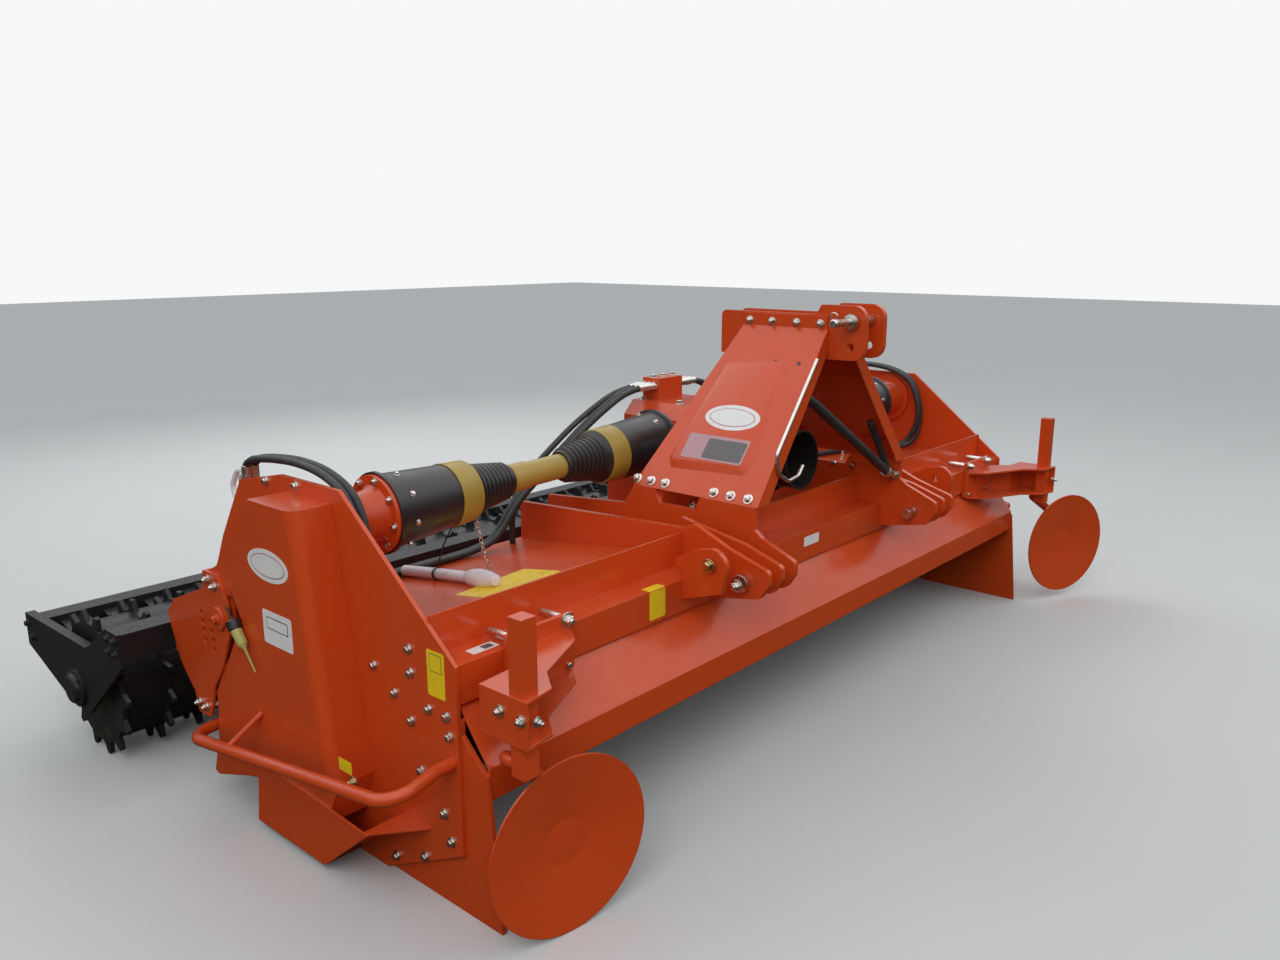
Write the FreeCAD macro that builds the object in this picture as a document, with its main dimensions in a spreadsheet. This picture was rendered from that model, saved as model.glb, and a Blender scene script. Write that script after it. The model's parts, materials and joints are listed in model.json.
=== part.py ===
"""Rotavator: a three-metre power tiller for a tractor's rear linkage, as a parametric FreeCAD document.

Millimetres. X runs along the working width, with the machine's right-hand end at -X.
Y runs rearwards from the front tips of the end plates, and Z up from the floor.
Each sub-part is drawn in those coordinates, and settle() then centres the whole machine on the origin.
"""
import math
import os

import FreeCAD
import Part
import Sketcher

SIZES = (
    # name, value, what it measures
    ("half_width", 1600, "middle to the outer face of an end plate"),
    ("plate", 12, "thickness of an end plate"),
    ("plate_front", 125, "front edge of an end plate"),
    ("plate_slope_top", 566, "where the plate's sloping front reaches its top"),
    ("plate_top_end", 846, "where the plate's top starts to fall"),
    ("plate_high", 1013, "top of an end plate"),
    ("plate_rear_top", 1065, "rear upper corner of an end plate"),
    ("plate_rear_high", 967, "height of that corner"),
    ("plate_rear", 1165, "rear edge of an end plate"),
    ("plate_rear_low", 230, "lower end of that edge"),
    ("plate_hip_back", 133, "end plate's hip, to the rear of that corner"),
    ("plate_hip_high", 775, "height of that point"),
    ("plate_heel_back", 114, "end plate's rearmost point, to the rear of its hip"),
    ("plate_heel_high", 641, "height of that point"),
    ("plate_foot_end", 985, "rear end of the plate's foot on the floor"),
    ("plate_foot_start", 445, "front end of that foot"),
    ("plate_cut", 165, "height of the plate's lower front corner"),
    ("knife", 12, "thickness of a wear knife"),
    ("knife_step", 40, "front edge of a knife at its shoulder"),
    ("knife_high", 400, "height of that shoulder"),
    ("knife_top", 520, "top of a knife"),
    ("knife_back", 250, "rear edge of a knife's upper end"),
    ("beam_front", 130, "front face of the box beam"),
    ("beam_side", 100, "side of the box beam"),
    ("beam_wall", 8, "wall of the box beam"),
    ("beam_high", 657, "top of the box beam"),
    ("sheet", 6, "thickness of the hood's sheet"),
    ("rail_high", 757, "top of the hood's front rail"),
    ("deck_front", 695, "deck's height at that rail"),
    ("deck_rear", 595, "deck's height where it bends down at the rear"),
    ("deck_end", 985, "where the deck bends down at the rear"),
    ("hood_rear", 1115, "rear edge of the hood"),
    ("hood_rear_low", 520, "lower edge of the hood at the rear"),
    ("lip_front", 42, "front of the deflector"),
    ("lip_high", 418, "height of the deflector's fold"),
    ("lip_low", 335, "bottom of the deflector's lip"),
    ("case_depth", 120, "gear case's depth outboard of its end plate"),
    ("case_top", 974, "top of a gear case"),
    ("case_front", 598, "front edge of a gear case at its top"),
    ("case_rear", 805, "rear edge of a gear case at its top"),
    ("case_low_front", 487, "front edge of a gear case at its bend"),
    ("case_bend", 262, "height of that bend"),
    ("case_low_rear", 885, "rear edge of a gear case at its bottom"),
    ("case_low", 150, "bottom of a gear case"),
    ("case_round", 34, "radius of a gear case's front edge"),
    ("case_hip", 952, "gear case's rear edge below its top"),
    ("case_hip_high", 835, "height of that point"),
    ("case_tail", 1059, "rearmost point of a gear case"),
    ("case_tail_high", 725, "height of that point"),
    ("case_notch", 892, "gear case's rear edge beside the arm"),
    ("case_notch_high", 619, "height of that point"),
    ("case_heel", 981, "gear case's rear edge below the arm"),
    ("case_heel_high", 486, "height of that point"),
    ("tail_rear", 1137, "rear end of a gear case's tail plate"),
    ("tail_low", 85, "lower corner of that plate"),
    ("tail_plate", 8, "thickness of that plate"),
    ("skid_low", 26, "underside of a skid's sole"),
    ("skid_sheet", 6, "thickness of a skid's sheet"),
    ("skid_tip", 347, "front tip of a skid"),
    ("skid_tip_high", 192, "height of that tip"),
    ("skid_root", 250, "where a skid meets its end plate"),
    ("rotor_y", 690, "rotor's axis"),
    ("rotor_z", 315, "height of the rotor's axis"),
    ("rotor_radius", 270, "tips of the tines"),
    ("rotor_tube", 57, "radius of the rotor's tube"),
    ("rotor_stub", 40, "radius of the rotor's stub in its bearing"),
    ("rotor_flanges", 12, "flanges along the rotor"),
    ("flange_radius", 130, "radius of a flange"),
    ("flange_thick", 12, "thickness of a flange"),
    ("tine_width", 70, "width of a tine"),
    ("tine_thick", 10, "thickness of a tine"),
    ("tine_reach", 95, "length of a tine's blade along the rotor"),
    ("tines_each_way", 3, "tines on each face of a flange"),
    ("input_y", 700, "axis of the side drives"),
    ("input_z", 887, "height of a side drive at its gear case"),
    ("drive_z", 922, "height of a side drive at the gearbox"),
    ("gearbox_half", 165, "half the gearbox's width"),
    ("gearbox_front", 520, "front face of the gearbox"),
    ("gearbox_rear", 880, "rear face of the gearbox"),
    ("gearbox_top", 1050, "top of the gearbox"),
    ("pedestal_high", 752, "top of the gearbox's pedestal"),
    ("foot_plate", 26, "thickness of the gearbox's foot"),
    ("guard_radius", 106, "radius of a shaft guard's bell"),
    ("guard_bell", 240, "length of that bell"),
    ("guard_band", 80, "length of its yellow band"),
    ("guard_cone", 110, "length of its ribbed cone"),
    ("guard_tube", 36, "radius of the guard's tube"),
    ("nose_radius", 80, "radius of the gearbox's front boss"),
    ("pto_z", 880, "height of the input stub"),
    ("pto_radius", 17.5, "radius of the input stub"),
    ("pto_length", 90, "length of the input stub"),
    ("hitch_half", 510, "middle to a lower link's ball"),
    ("hitch_gap", 50, "gap for a lower link's ball"),
    ("hitch_plate", 18, "thickness of a hitch plate"),
    ("hitch_pin", 18.3, "radius of a lower hitch pin"),
    ("hitch_y", 0, "axis of the lower hitch pins"),
    ("hitch_z", 645, "height of the lower hitch pins"),
    ("pin_free", 40, "free end of a hitch pin"),
    ("pin_groove", 4, "width of the groove that sets off a pin's free end"),
    ("lug_x", 740, "outer lug of a hitch bracket"),
    ("base_top", 790, "top of a base plate at its front"),
    ("base_middle", 771, "top of a base plate behind the rail"),
    ("base_rear", 733, "top of a base plate at its rear"),
    ("base_end", 966, "rear end of a base plate"),
    ("foot_z", 835, "height of a leg's foot"),
    ("foot_front", 50, "front edge of a leg's foot"),
    ("foot_rear", 552, "rear edge of a leg's foot"),
    ("leg_top", 1352, "height of a leg's top"),
    ("leg_front", 70, "front edge of a leg's top"),
    ("leg_rear", 402, "rear edge of a leg's top"),
    ("leg_flange", 62, "depth of a leg's folded flanges"),
    ("leg_wall", 8, "thickness of a leg's sheet"),
    ("leg_slant", 1.28, "a leg's sheet, measured level, over its thickness"),
    ("ear_gap", 100, "gap between the top-link plates"),
    ("ear_thick", 20, "thickness of a top-link plate"),
    ("ear_front", -62, "front edge of a top-link plate"),
    ("ear_rear", 502, "rear edge of a top-link plate"),
    ("ear_below", 102, "top-link plate's depth below the legs' tops"),
    ("ear_above", 46, "top-link plate's height above them"),
    ("ear_nose", 32, "rise of its front end"),
    ("ear_step", 108, "where its front end starts"),
    ("ear_round", 45, "radius of its front corners"),
    ("top_pin", 15.9, "radius of the top-link pin"),
    ("top_pin_y", -18, "axis of the top-link pin"),
    ("top_pin_down", 18, "top-link pin below the plates' tops"),
    ("spare_hole_down", 83, "free hole below the top-link pin"),
    ("spare_hole", 13, "radius of that hole"),
    ("clamp_in", 270, "end plate to the middle of a disc bracket's clamp"),
    ("clamp_width", 230, "width of that clamp"),
    ("clamp_plate", 14, "thickness of that clamp's plate"),
    ("clamp_over", 35, "clamp plate's reach above the beam"),
    ("clamp_under", 17, "clamp plate's reach below the beam"),
    ("arm_low", 532, "bottom of a disc bracket's arm"),
    ("arm_high", 650, "top of a disc bracket's arm"),
    ("arm_wall", 8, "thickness of that arm's plates"),
    ("box_front", -128, "front of a bracket's end box"),
    ("box_rear", 30, "rear of that box"),
    ("post_out", 248, "middle of a clamp to its disc's post, along the beam"),
    ("post_y", -86, "axis of a disc's post"),
    ("post_side", 45, "side of a disc's post"),
    ("post_top", 832, "top of a disc's post"),
    ("post_low", 450, "bottom of a disc's post"),
    ("left_raise", 36, "the left-hand disc's height above the right-hand one's"),
    ("shank_radius", 18, "radius of the shank from a post to its disc"),
    ("disc_radius", 228, "radius of a disc"),
    ("disc_thick", 6, "thickness of a disc"),
    ("disc_dish", 26, "depth of a disc's dish"),
    ("disc_y", -113, "middle of a disc"),
    ("disc_left_y", -153, "middle of the left-hand disc"),
    ("disc_right_in", 114, "right-hand disc's middle, inboard of its post"),
    ("disc_left_out", 185, "left-hand disc's middle, outboard of its post"),
    ("disc_right_turn", -8.5, "turn of the right-hand disc, in degrees"),
    ("disc_left_turn", -23, "turn of the left-hand disc, in degrees"),
    ("hub_radius", 48, "radius of a disc's hub"),
    ("axle_radius", 15, "radius of a disc's axle"),
    ("bow_radius", 17, "radius of a guard bow's tube"),
    ("bow_out", 200, "guard bow's reach outboard of its end plate"),
    ("bow_bend", 90, "radius of a guard bow's bends"),
    ("housing_plate", 8, "thickness of an arm housing's sheet"),
    ("housing_top", 727, "top of an arm housing"),
    ("housing_low", 262, "bottom of an arm housing"),
    ("arm_in", 8, "gap between an arm and its housing"),
    ("adjust_hole", 9, "radius of a housing's adjusting holes"),
    ("housing_rear", 1333, "rear of an arm housing"),
    ("pivot_y", 1000, "axis of the roller's arms"),
    ("pivot_z", 600, "height of that axis"),
    ("pivot_pin", 25, "radius of an arm's pivot pin"),
    ("arm_plate", 12, "thickness of an arm's side plates"),
    ("arm_lug_y", 1235, "axis of a cylinder's lower pin"),
    ("arm_lug_z", 600, "height of that pin"),
    ("roller_y", 1690, "roller's axis"),
    ("roller_radius", 240, "tips of the roller's teeth"),
    ("roller_drum", 195, "radius of the roller's drum"),
    ("roller_end", 38, "gap between the roller and a side plate"),
    ("roller_rings", 27, "toothed rings along the roller"),
    ("ring_teeth", 14, "teeth on a ring"),
    ("ring_thick", 14, "thickness of a ring"),
    ("roller_stub", 25, "radius of the roller's stub"),
    ("frame_plate", 12, "thickness of the roller frame's side plates"),
    ("frame_over", 280, "roller frame's reach outboard of an end plate"),
    ("front_tube_y", 1335, "front face of the roller frame's front beam"),
    ("front_tube_z", 418, "bottom of that beam"),
    ("front_tube", 86, "side of that beam"),
    ("rear_tube_y", 2020, "front face of the roller frame's rear beam"),
    ("rear_tube_z", 300, "bottom of that beam"),
    ("rear_tube", 80, "side of that beam"),
    ("side_high", 392, "top of the roller frame's side plates"),
    ("side_lip", 30, "width of the lip along that top"),
    ("scraper_width", 92, "width of a scraper"),
    ("scraper_gap", 9, "gap between a scraper and the drum"),
    ("board_length", 340, "length of the rear board"),
    ("board_rake", 16, "rake of the rear board, in degrees"),
    ("jack_in", 60, "cylinder's axis inboard of an end plate's outer face"),
    ("lug_plate", 10, "thickness of a cylinder's lower lugs"),
    ("port_block", 56, "reach of the hoses' block from its end plate"),
    ("port_back", 29, "middle of that block, to the rear of the cylinder's upper pin"),
    ("port_up", 60, "top of that block, above that pin"),
    ("jack_top_in", 15, "cylinder's upper pin, in front of its end plate's rear upper corner"),
    ("jack_top_down", 67, "cylinder's upper pin, below that corner"),
    ("jack_radius", 30, "radius of a cylinder's barrel"),
    ("rod_radius", 15, "radius of a cylinder's rod"),
    ("jack_pin", 12, "radius of a cylinder's pins"),
    ("hose_radius", 11, "radius of a hose"),
    ("hook_radius", 6, "radius of the hook rod"),
    ("running", 0.05, "radial clearance of a shaft in its bearing"),
    ("seat_gap", 0.3, "clearance between pieces that move apart"),
)


class Size(float):
    """A number that remembers the spreadsheet formula behind it."""

    def __new__(cls, value, formula):
        number = super().__new__(cls, value)
        number.formula = formula
        return number

    def combine(self, other, sign, value, swap=False):
        first, second = formula_of(self), formula_of(other)
        if swap:
            first, second = second, first
        return Size(value, f"({first} {sign} {second})")

    def __add__(self, other):
        return self.combine(other, "+", float(self) + float(other))

    def __radd__(self, other):
        return self.combine(other, "+", float(other) + float(self), True)

    def __sub__(self, other):
        return self.combine(other, "-", float(self) - float(other))

    def __rsub__(self, other):
        return self.combine(other, "-", float(other) - float(self), True)

    def __mul__(self, other):
        return self.combine(other, "*", float(self) * float(other))

    def __rmul__(self, other):
        return self.combine(other, "*", float(other) * float(self), True)

    def __truediv__(self, other):
        return self.combine(other, "/", float(self) / float(other))

    def __neg__(self):
        return Size(-float(self), f"(0 - {self.formula})")


def formula_of(value):
    """The formula of a Size, or a plain number's own digits."""
    return value.formula if isinstance(value, Size) else repr(float(value))


class Sizes:
    """The driving sizes as attributes, each one bound to its spreadsheet cell."""


doc = FreeCAD.newDocument("rotavator")
sheet = doc.addObject("Spreadsheet::Sheet", "Sizes")
S = Sizes()
for row, (name, value, meaning) in enumerate(SIZES, start=1):
    sheet.set(f"A{row}", str(value))
    sheet.setAlias(f"A{row}", name)
    sheet.set(f"B{row}", meaning)
    setattr(S, name, Size(value, f"Sizes.{name}"))
doc.recompute()
# Sizes that follow from others.
S.ear_low = S.leg_top - S.ear_below
S.ear_high = S.leg_top + S.ear_above
S.ear_nose_high = S.ear_high + S.ear_nose
S.top_pin_z = S.ear_high - S.top_pin_down
S.plate_hip = S.plate_rear_top + S.plate_hip_back
S.plate_heel = S.plate_hip + S.plate_heel_back
S.jack_top_y = S.plate_rear_top - S.jack_top_in
S.jack_top_z = S.plate_rear_high - S.jack_top_down
S.port_y = S.jack_top_y + S.port_back
S.port_z = S.jack_top_z + S.port_up
S.clamp_x = S.half_width - S.clamp_in
S.post_x = S.clamp_x + S.post_out
S.disc_right_x = -(S.post_x - S.disc_right_in)
S.disc_left_x = S.post_x + S.disc_left_out
S.frame_half = S.half_width + S.frame_over
S.roller_half = S.frame_half - S.frame_plate - S.roller_end
S.jack_x = S.half_width - S.jack_in
S.case_x = S.half_width + S.case_depth

PARTS = []
V = FreeCAD.Vector
X_AXIS = V(1, 0, 0)
Y_AXIS = V(0, 1, 0)
Z_AXIS = V(0, 0, 1)
SIDES = (("right", -1), ("left", 1))
# Turns an axle so that its seam lies away from the shank that joins it.
SEAM_TURN = 40
FLOOR = MIDDLE = Size(0, "0")


def finish(piece, label):
    """Names a finished sub-part and lists it for export."""
    piece.Label = label
    PARTS.append(piece)
    return piece


def sketch_in(body, plane, start):
    """A sketch on one of the body's own planes, moved along +X, +Y or +Z to start."""
    sketch = body.newObject("Sketcher::SketchObject", "Profile")
    origin_plane = [item for item in body.Origin.OriginFeatures if item.Role == f"{plane}_Plane"][0]
    sketch.AttachmentSupport = [(origin_plane, "")]
    sketch.MapMode = "FlatFace"
    offset = -start if plane == "XZ" else start
    sketch.setExpression("AttachmentOffset.Base.z", formula_of(offset))
    return sketch


def hold(sketch, geometry, point, u, v):
    """Holds one point of the sketch at (u, v) from its origin."""
    for kind, value in (("DistanceX", u), ("DistanceY", v)):
        index = sketch.addConstraint(Sketcher.Constraint(kind, -1, 1, geometry, point, float(value)))
        if isinstance(value, Size):
            sketch.setExpression(f"Constraints[{index}]", value.formula)


def hold_radius(sketch, geometry, radius):
    index = sketch.addConstraint(Sketcher.Constraint("Radius", geometry, float(radius)))
    if isinstance(radius, Size):
        sketch.setExpression(f"Constraints[{index}]", radius.formula)


def draw_line(sketch, points, closed=True):
    """Straight lines through the points. A third number in a point rounds that corner."""
    count = len(points)
    first = sketch.GeometryCount
    corners = [V(point[0], point[1], 0) for point in points]
    for index in range(count if closed else count - 1):
        sketch.addGeometry(Part.LineSegment(corners[index], corners[(index + 1) % count]), False)
    for index in range(sketch.GeometryCount - first - (0 if closed else 1)):
        after = first + (index + 1) % count
        sketch.addConstraint(Sketcher.Constraint("Coincident", first + index, 2, after, 1))
    for index, point in enumerate(points):
        if closed or index < count - 1:
            hold(sketch, first + index, 1, point[0], point[1])
        else:
            hold(sketch, first + index - 1, 2, point[0], point[1])
    for index, point in enumerate(points):
        if len(point) > 2:
            before, corner, after = corners[index - 1], corners[index], corners[(index + 1) % count]
            sketch.fillet(first + (index - 1) % count, first + index, corner + (before - corner).normalize(),
                          corner + (after - corner).normalize(), float(point[2]), True, True)
            hold_radius(sketch, sketch.GeometryCount - 2, point[2])


def draw_circle(sketch, u, v, radius):
    """A circle, such as a hole."""
    index = sketch.addGeometry(Part.Circle(V(u, v, 0), Z_AXIS, float(radius)), False)
    hold(sketch, index, 3, u, v)
    hold_radius(sketch, index, radius)


def new_body(name):
    return doc.addObject("PartDesign::Body", name)


def pad(body, plane, start, length, outline=None, holes=(), cut=False):
    """Adds (or cuts) an outline with round holes, from start along +X, +Y or +Z."""
    sketch = sketch_in(body, plane, start)
    if outline:
        draw_line(sketch, outline)
    for hole in holes:
        draw_circle(sketch, *hole)
    feature = body.newObject("PartDesign::Pocket" if cut else "PartDesign::Pad", "Cut" if cut else "Pad")
    feature.Profile = sketch
    feature.setExpression("Length", formula_of(length))
    feature.Reversed = (plane == "XZ") != cut
    body.Tip = feature
    return feature


def plate(name, plane, start, length, outline, holes=()):
    """A flat plate as a body of its own."""
    body = new_body(name)
    pad(body, plane, start, length, outline, holes)
    return body


def turned(name, profile):
    """A turned piece about its own X axis, from (x, radius) points."""
    body = new_body(name)
    sketch = sketch_in(body, "XZ", MIDDLE)
    draw_line(sketch, profile)
    feature = body.newObject("PartDesign::Revolution", "Turn")
    feature.Profile = sketch
    feature.ReferenceAxis = (sketch, ["H_Axis"])
    feature.Angle = 360
    body.Tip = feature
    return body


def place(piece, position, direction=X_AXIS, turn=0):
    """Puts a piece drawn along its own X axis at a position, pointing along a direction."""
    rotation = FreeCAD.Rotation(X_AXIS, V(*direction)).multiply(FreeCAD.Rotation(X_AXIS, turn))
    piece.Placement = FreeCAD.Placement(V(*position), rotation)
    return piece


def sheet_metal(name, points, start, length, thick, side=1):
    """A folded sheet in the YZ plane: one skin's line, thickened and extruded along X."""
    line = doc.addObject("Sketcher::SketchObject", name + "Line")
    line.Placement = FreeCAD.Placement(V(0, 0, 0), FreeCAD.Rotation(V(1, 1, 1), 120))
    draw_line(line, points, closed=False)
    skin = doc.addObject("Part::Offset2D", name + "Skin")
    skin.Source = line
    skin.setExpression("Value", formula_of(thick * side))
    skin.Mode = "Skin"
    skin.Join = "Intersection"
    skin.Fill = True
    solid = doc.addObject("Part::Extrusion", name)
    solid.Base = skin
    solid.DirMode = "Custom"
    solid.Dir = X_AXIS
    solid.Solid = True
    solid.setExpression("LengthFwd", formula_of(length + start))
    solid.setExpression("LengthRev", formula_of(-start))
    return solid


def fuse(name, pieces):
    """One solid out of several."""
    whole = doc.addObject("Part::MultiFuse", name)
    whole.Shapes = pieces
    whole.Refine = True
    return whole


def cut(name, base, tool):
    rest = doc.addObject("Part::Cut", name)
    rest.Base = base
    rest.Tool = tool
    return rest


def mirrored(name, piece):
    """The same piece on the other side of the machine."""
    twin = doc.addObject("Part::Mirroring", name)
    twin.Source = piece
    twin.Base = V(0, 0, 0)
    twin.Normal = X_AXIS
    return twin


def both_sides(name, piece):
    """Finishes a right-hand piece and its mirrored left-hand twin."""
    finish(piece, name + "_right")
    finish(mirrored(name + "Left", piece), name + "_left")


def bent_path(points, bend):
    """A wire through the points with a round bend at each inner one."""
    points = [V(*point) for point in points]
    edges = []
    at = points[0]
    for before, corner, after in zip(points, points[1:], points[2:]):
        into = (corner - before).normalize()
        out = (after - corner).normalize()
        half = into.getAngle(out) / 2
        if half < 0.01:
            continue
        reach = min(bend * math.tan(half), 0.49 * before.distanceToPoint(corner),
                    0.49 * after.distanceToPoint(corner))
        radius = reach / math.tan(half)
        start, end = corner - into * reach, corner + out * reach
        middle_way = (out - into).normalize()
        middle = corner + middle_way * (radius / math.cos(half) - radius)
        edges.append(Part.LineSegment(at, start).toShape())
        edges.append(Part.Arc(start, middle, end).toShape())
        at = end
    edges.append(Part.LineSegment(at, points[-1]).toShape())
    return Part.Wire(edges)


def swept(points, bend, radius):
    """A round bar or hose along a bent path."""
    path = bent_path(points, bend)
    first = path.Edges[0]
    ring = Part.Wire([Part.Circle(first.valueAt(first.FirstParameter),
                                  first.tangentAt(first.FirstParameter), float(radius)).toShape()])
    return path.makePipeShell([ring], True, False)


def shape_object(name, shape):
    """A form that the other tools don't fit, kept as a plain shape."""
    item = doc.addObject("Part::Feature", name)
    item.Shape = shape
    return item


def end_plates():
    """The two end plates, with their bearings for the rotor, and the wear knives inside them."""
    outline = [
        (S.plate_front, S.plate_cut), (S.plate_foot_start, FLOOR), (S.plate_foot_end, FLOOR),
        (S.plate_rear, S.plate_rear_low), (S.plate_heel - 22, S.plate_heel_high - 100),
        (S.plate_heel, S.plate_heel_high, 15), (S.plate_heel - 58, S.plate_heel_high + 30, 40),
        (S.plate_hip, S.plate_hip_high), (S.plate_rear_top, S.plate_rear_high),
        (S.plate_top_end, S.plate_high), (S.plate_slope_top, S.plate_high), (S.plate_front, S.beam_high)]
    body = plate("EndPlate", "YZ", -S.half_width, S.plate, outline)
    boss = S.rotor_stub + 38
    inner_face = -S.half_width + S.plate
    pad(body, "YZ", inner_face, S.plate + 14, None,
        ((S.rotor_y, S.rotor_z, boss), (S.rotor_y, S.rotor_z, S.rotor_stub + S.running)))
    pad(body, "YZ", -S.half_width, S.plate, None,
        ((S.pivot_y, S.pivot_z, S.pivot_pin + S.running),), cut=True)
    pad(body, "YZ", inner_face, S.jack_in - S.plate + 28, None, ((S.jack_top_y, S.jack_top_z, S.jack_pin),))
    pad(body, "YZ", inner_face, S.port_block, [
        (S.port_y - 16, S.port_z - 28), (S.port_y + 16, S.port_z - 28),
        (S.port_y + 16, S.port_z), (S.port_y - 16, S.port_z)])
    both_sides("end_plate", body)
    knife = plate("Knife", "YZ", -S.half_width + S.plate, S.knife, [
        (FLOOR, FLOOR), (S.plate_foot_start, FLOOR), (S.knife_back, S.plate_cut + 40),
        (S.knife_back, S.knife_top), (S.plate_front, S.knife_top), (S.plate_front, S.knife_high + 80),
        (S.knife_step, S.knife_high)])
    finish(fuse("Knives", [knife, mirrored("KnifeLeft", knife)]), "wear_knives")


def deck_at(y):
    """The deck's height at a distance from the front."""
    start = S.beam_front + S.beam_side + S.sheet
    return S.deck_front + (S.deck_rear - S.deck_front) * ((y - start) / (S.deck_end - start))


def hood():
    """The box beam, the sloping deck with its front wall, and the deflector below the beam."""
    inner = S.half_width - S.plate
    beam = plate("Beam", "YZ", -inner, inner * 2, [
        (S.beam_front, S.beam_high - S.beam_side), (S.beam_front + S.beam_side, S.beam_high - S.beam_side),
        (S.beam_front + S.beam_side, S.beam_high), (S.beam_front, S.beam_high)])
    low, wall = S.beam_high - S.beam_side, S.beam_wall
    pad(beam, "YZ", -inner, inner * 2, [
        (S.beam_front + wall, low + wall), (S.beam_front + S.beam_side - wall, low + wall),
        (S.beam_front + S.beam_side - wall, S.beam_high - wall), (S.beam_front + wall, S.beam_high - wall)],
        cut=True)
    finish(beam, "front_beam")
    rear_face = S.beam_front + S.beam_side
    rail = plate("Rail", "YZ", -inner, inner * 2, [
        (rear_face, low), (rear_face + S.sheet, low), (rear_face + S.sheet, S.rail_high),
        (rear_face, S.rail_high)])
    deck = sheet_metal("Deck", [
        (rear_face + S.sheet, S.deck_front), (S.deck_end, S.deck_rear),
        (S.hood_rear, S.hood_rear_low)], -inner, inner * 2, S.sheet)
    finish(fuse("HoodDeck", [rail, deck]), "hood_deck")
    between_knives = inner - S.knife
    lip = sheet_metal("Lip", [
        (S.beam_front + S.beam_side, low), (S.beam_front + 20, low), (S.lip_front, S.lip_high),
        (S.lip_front, S.lip_low)], -between_knives, between_knives * 2, S.sheet, -1)
    finish(lip, "front_deflector")


def gear_cases():
    """Covers over the side gears, each with a tail plate and a folded skid below it."""
    outer = S.case_x
    case = plate("GearCase", "YZ", -outer, S.case_depth, [
        (S.case_front, S.case_top), (S.case_rear, S.case_top), (S.case_hip, S.case_hip_high),
        (S.case_tail - 53, S.case_tail_high + 27), (S.case_tail, S.case_tail_high),
        (S.case_tail - 69, S.case_tail_high - 37), (S.case_notch + 42, S.case_notch_high + 72),
        (S.case_notch, S.case_notch_high), (S.case_heel, S.case_heel_high),
        (S.case_low_rear + 15, S.case_heel_high - 86), (S.case_low_rear, S.case_low),
        (S.case_low_front + 33, S.case_low), (S.case_low_front, S.case_bend)])
    doc.recompute()
    block = case.Tip
    rounded = case.newObject("PartDesign::Fillet", "FrontEdge")
    rounded.Base = (block, [front_edge(block, outer)])
    rounded.setExpression("Radius", S.case_round.formula)
    case.Tip = rounded
    tail = plate("CaseTail", "YZ", -outer, S.tail_plate, [
        (S.case_low_rear, S.case_low), (S.case_low_rear + 15, S.case_heel_high - 86),
        (S.case_heel, S.case_heel_high), (S.case_heel + 59, S.case_heel_high - 72),
        (S.case_heel + 99, S.case_heel_high - 137), (S.case_heel + 96, S.case_heel_high - 177),
        (S.tail_rear - 43, S.tail_low + 115), (S.tail_rear, S.tail_low),
        (S.tail_rear - 22, S.tail_low - 8), (S.tail_rear - 211, S.tail_low + 55)])
    low, sheet_thick = S.skid_low, S.skid_sheet
    cheek = plate("SkidCheek", "YZ", -outer - sheet_thick, sheet_thick, [
        (S.case_low_rear - 22, S.case_low + 13), (S.case_low_rear, low), (S.case_low_front + 63, low),
        (S.skid_tip, S.skid_tip_high), (S.skid_tip + 213, S.skid_tip_high + 12),
        (S.case_low_rear - 88, S.case_low + 63)])
    sole = sheet_metal("SkidSole", [
        (S.case_low_rear, low), (S.case_low_front + 63, low), (S.skid_tip, S.skid_tip_high)],
        -outer - sheet_thick, S.case_depth + sheet_thick, sheet_thick, -1)
    tip = plate("SkidTip", "XY", S.skid_tip_high - sheet_thick, sheet_thick, [
        (-outer, S.skid_tip), (-S.half_width, S.skid_root), (-S.half_width, S.skid_tip + 14),
        (-outer, S.skid_tip + 14)])
    both_sides("gear_case", fuse("GearCaseWithSkid", [case, tail, cheek, sole, tip]))


def front_edge(pad_feature, outer):
    """Name of the sloping front edge of a gear case's outer face."""
    for index, edge in enumerate(pad_feature.Shape.Edges, start=1):
        ends = [vertex.Point for vertex in edge.Vertexes]
        on_face = all(abs(point.x + outer) < 0.01 for point in ends)
        heights = sorted(point.z for point in ends)
        front = all(point.y < S.case_front + 1 for point in ends)
        if on_face and front and abs(heights[0] - S.case_bend) < 0.01 and abs(heights[1] - S.case_top) < 0.01:
            return f"Edge{index}"
    raise RuntimeError("a gear case has no front edge")


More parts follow.
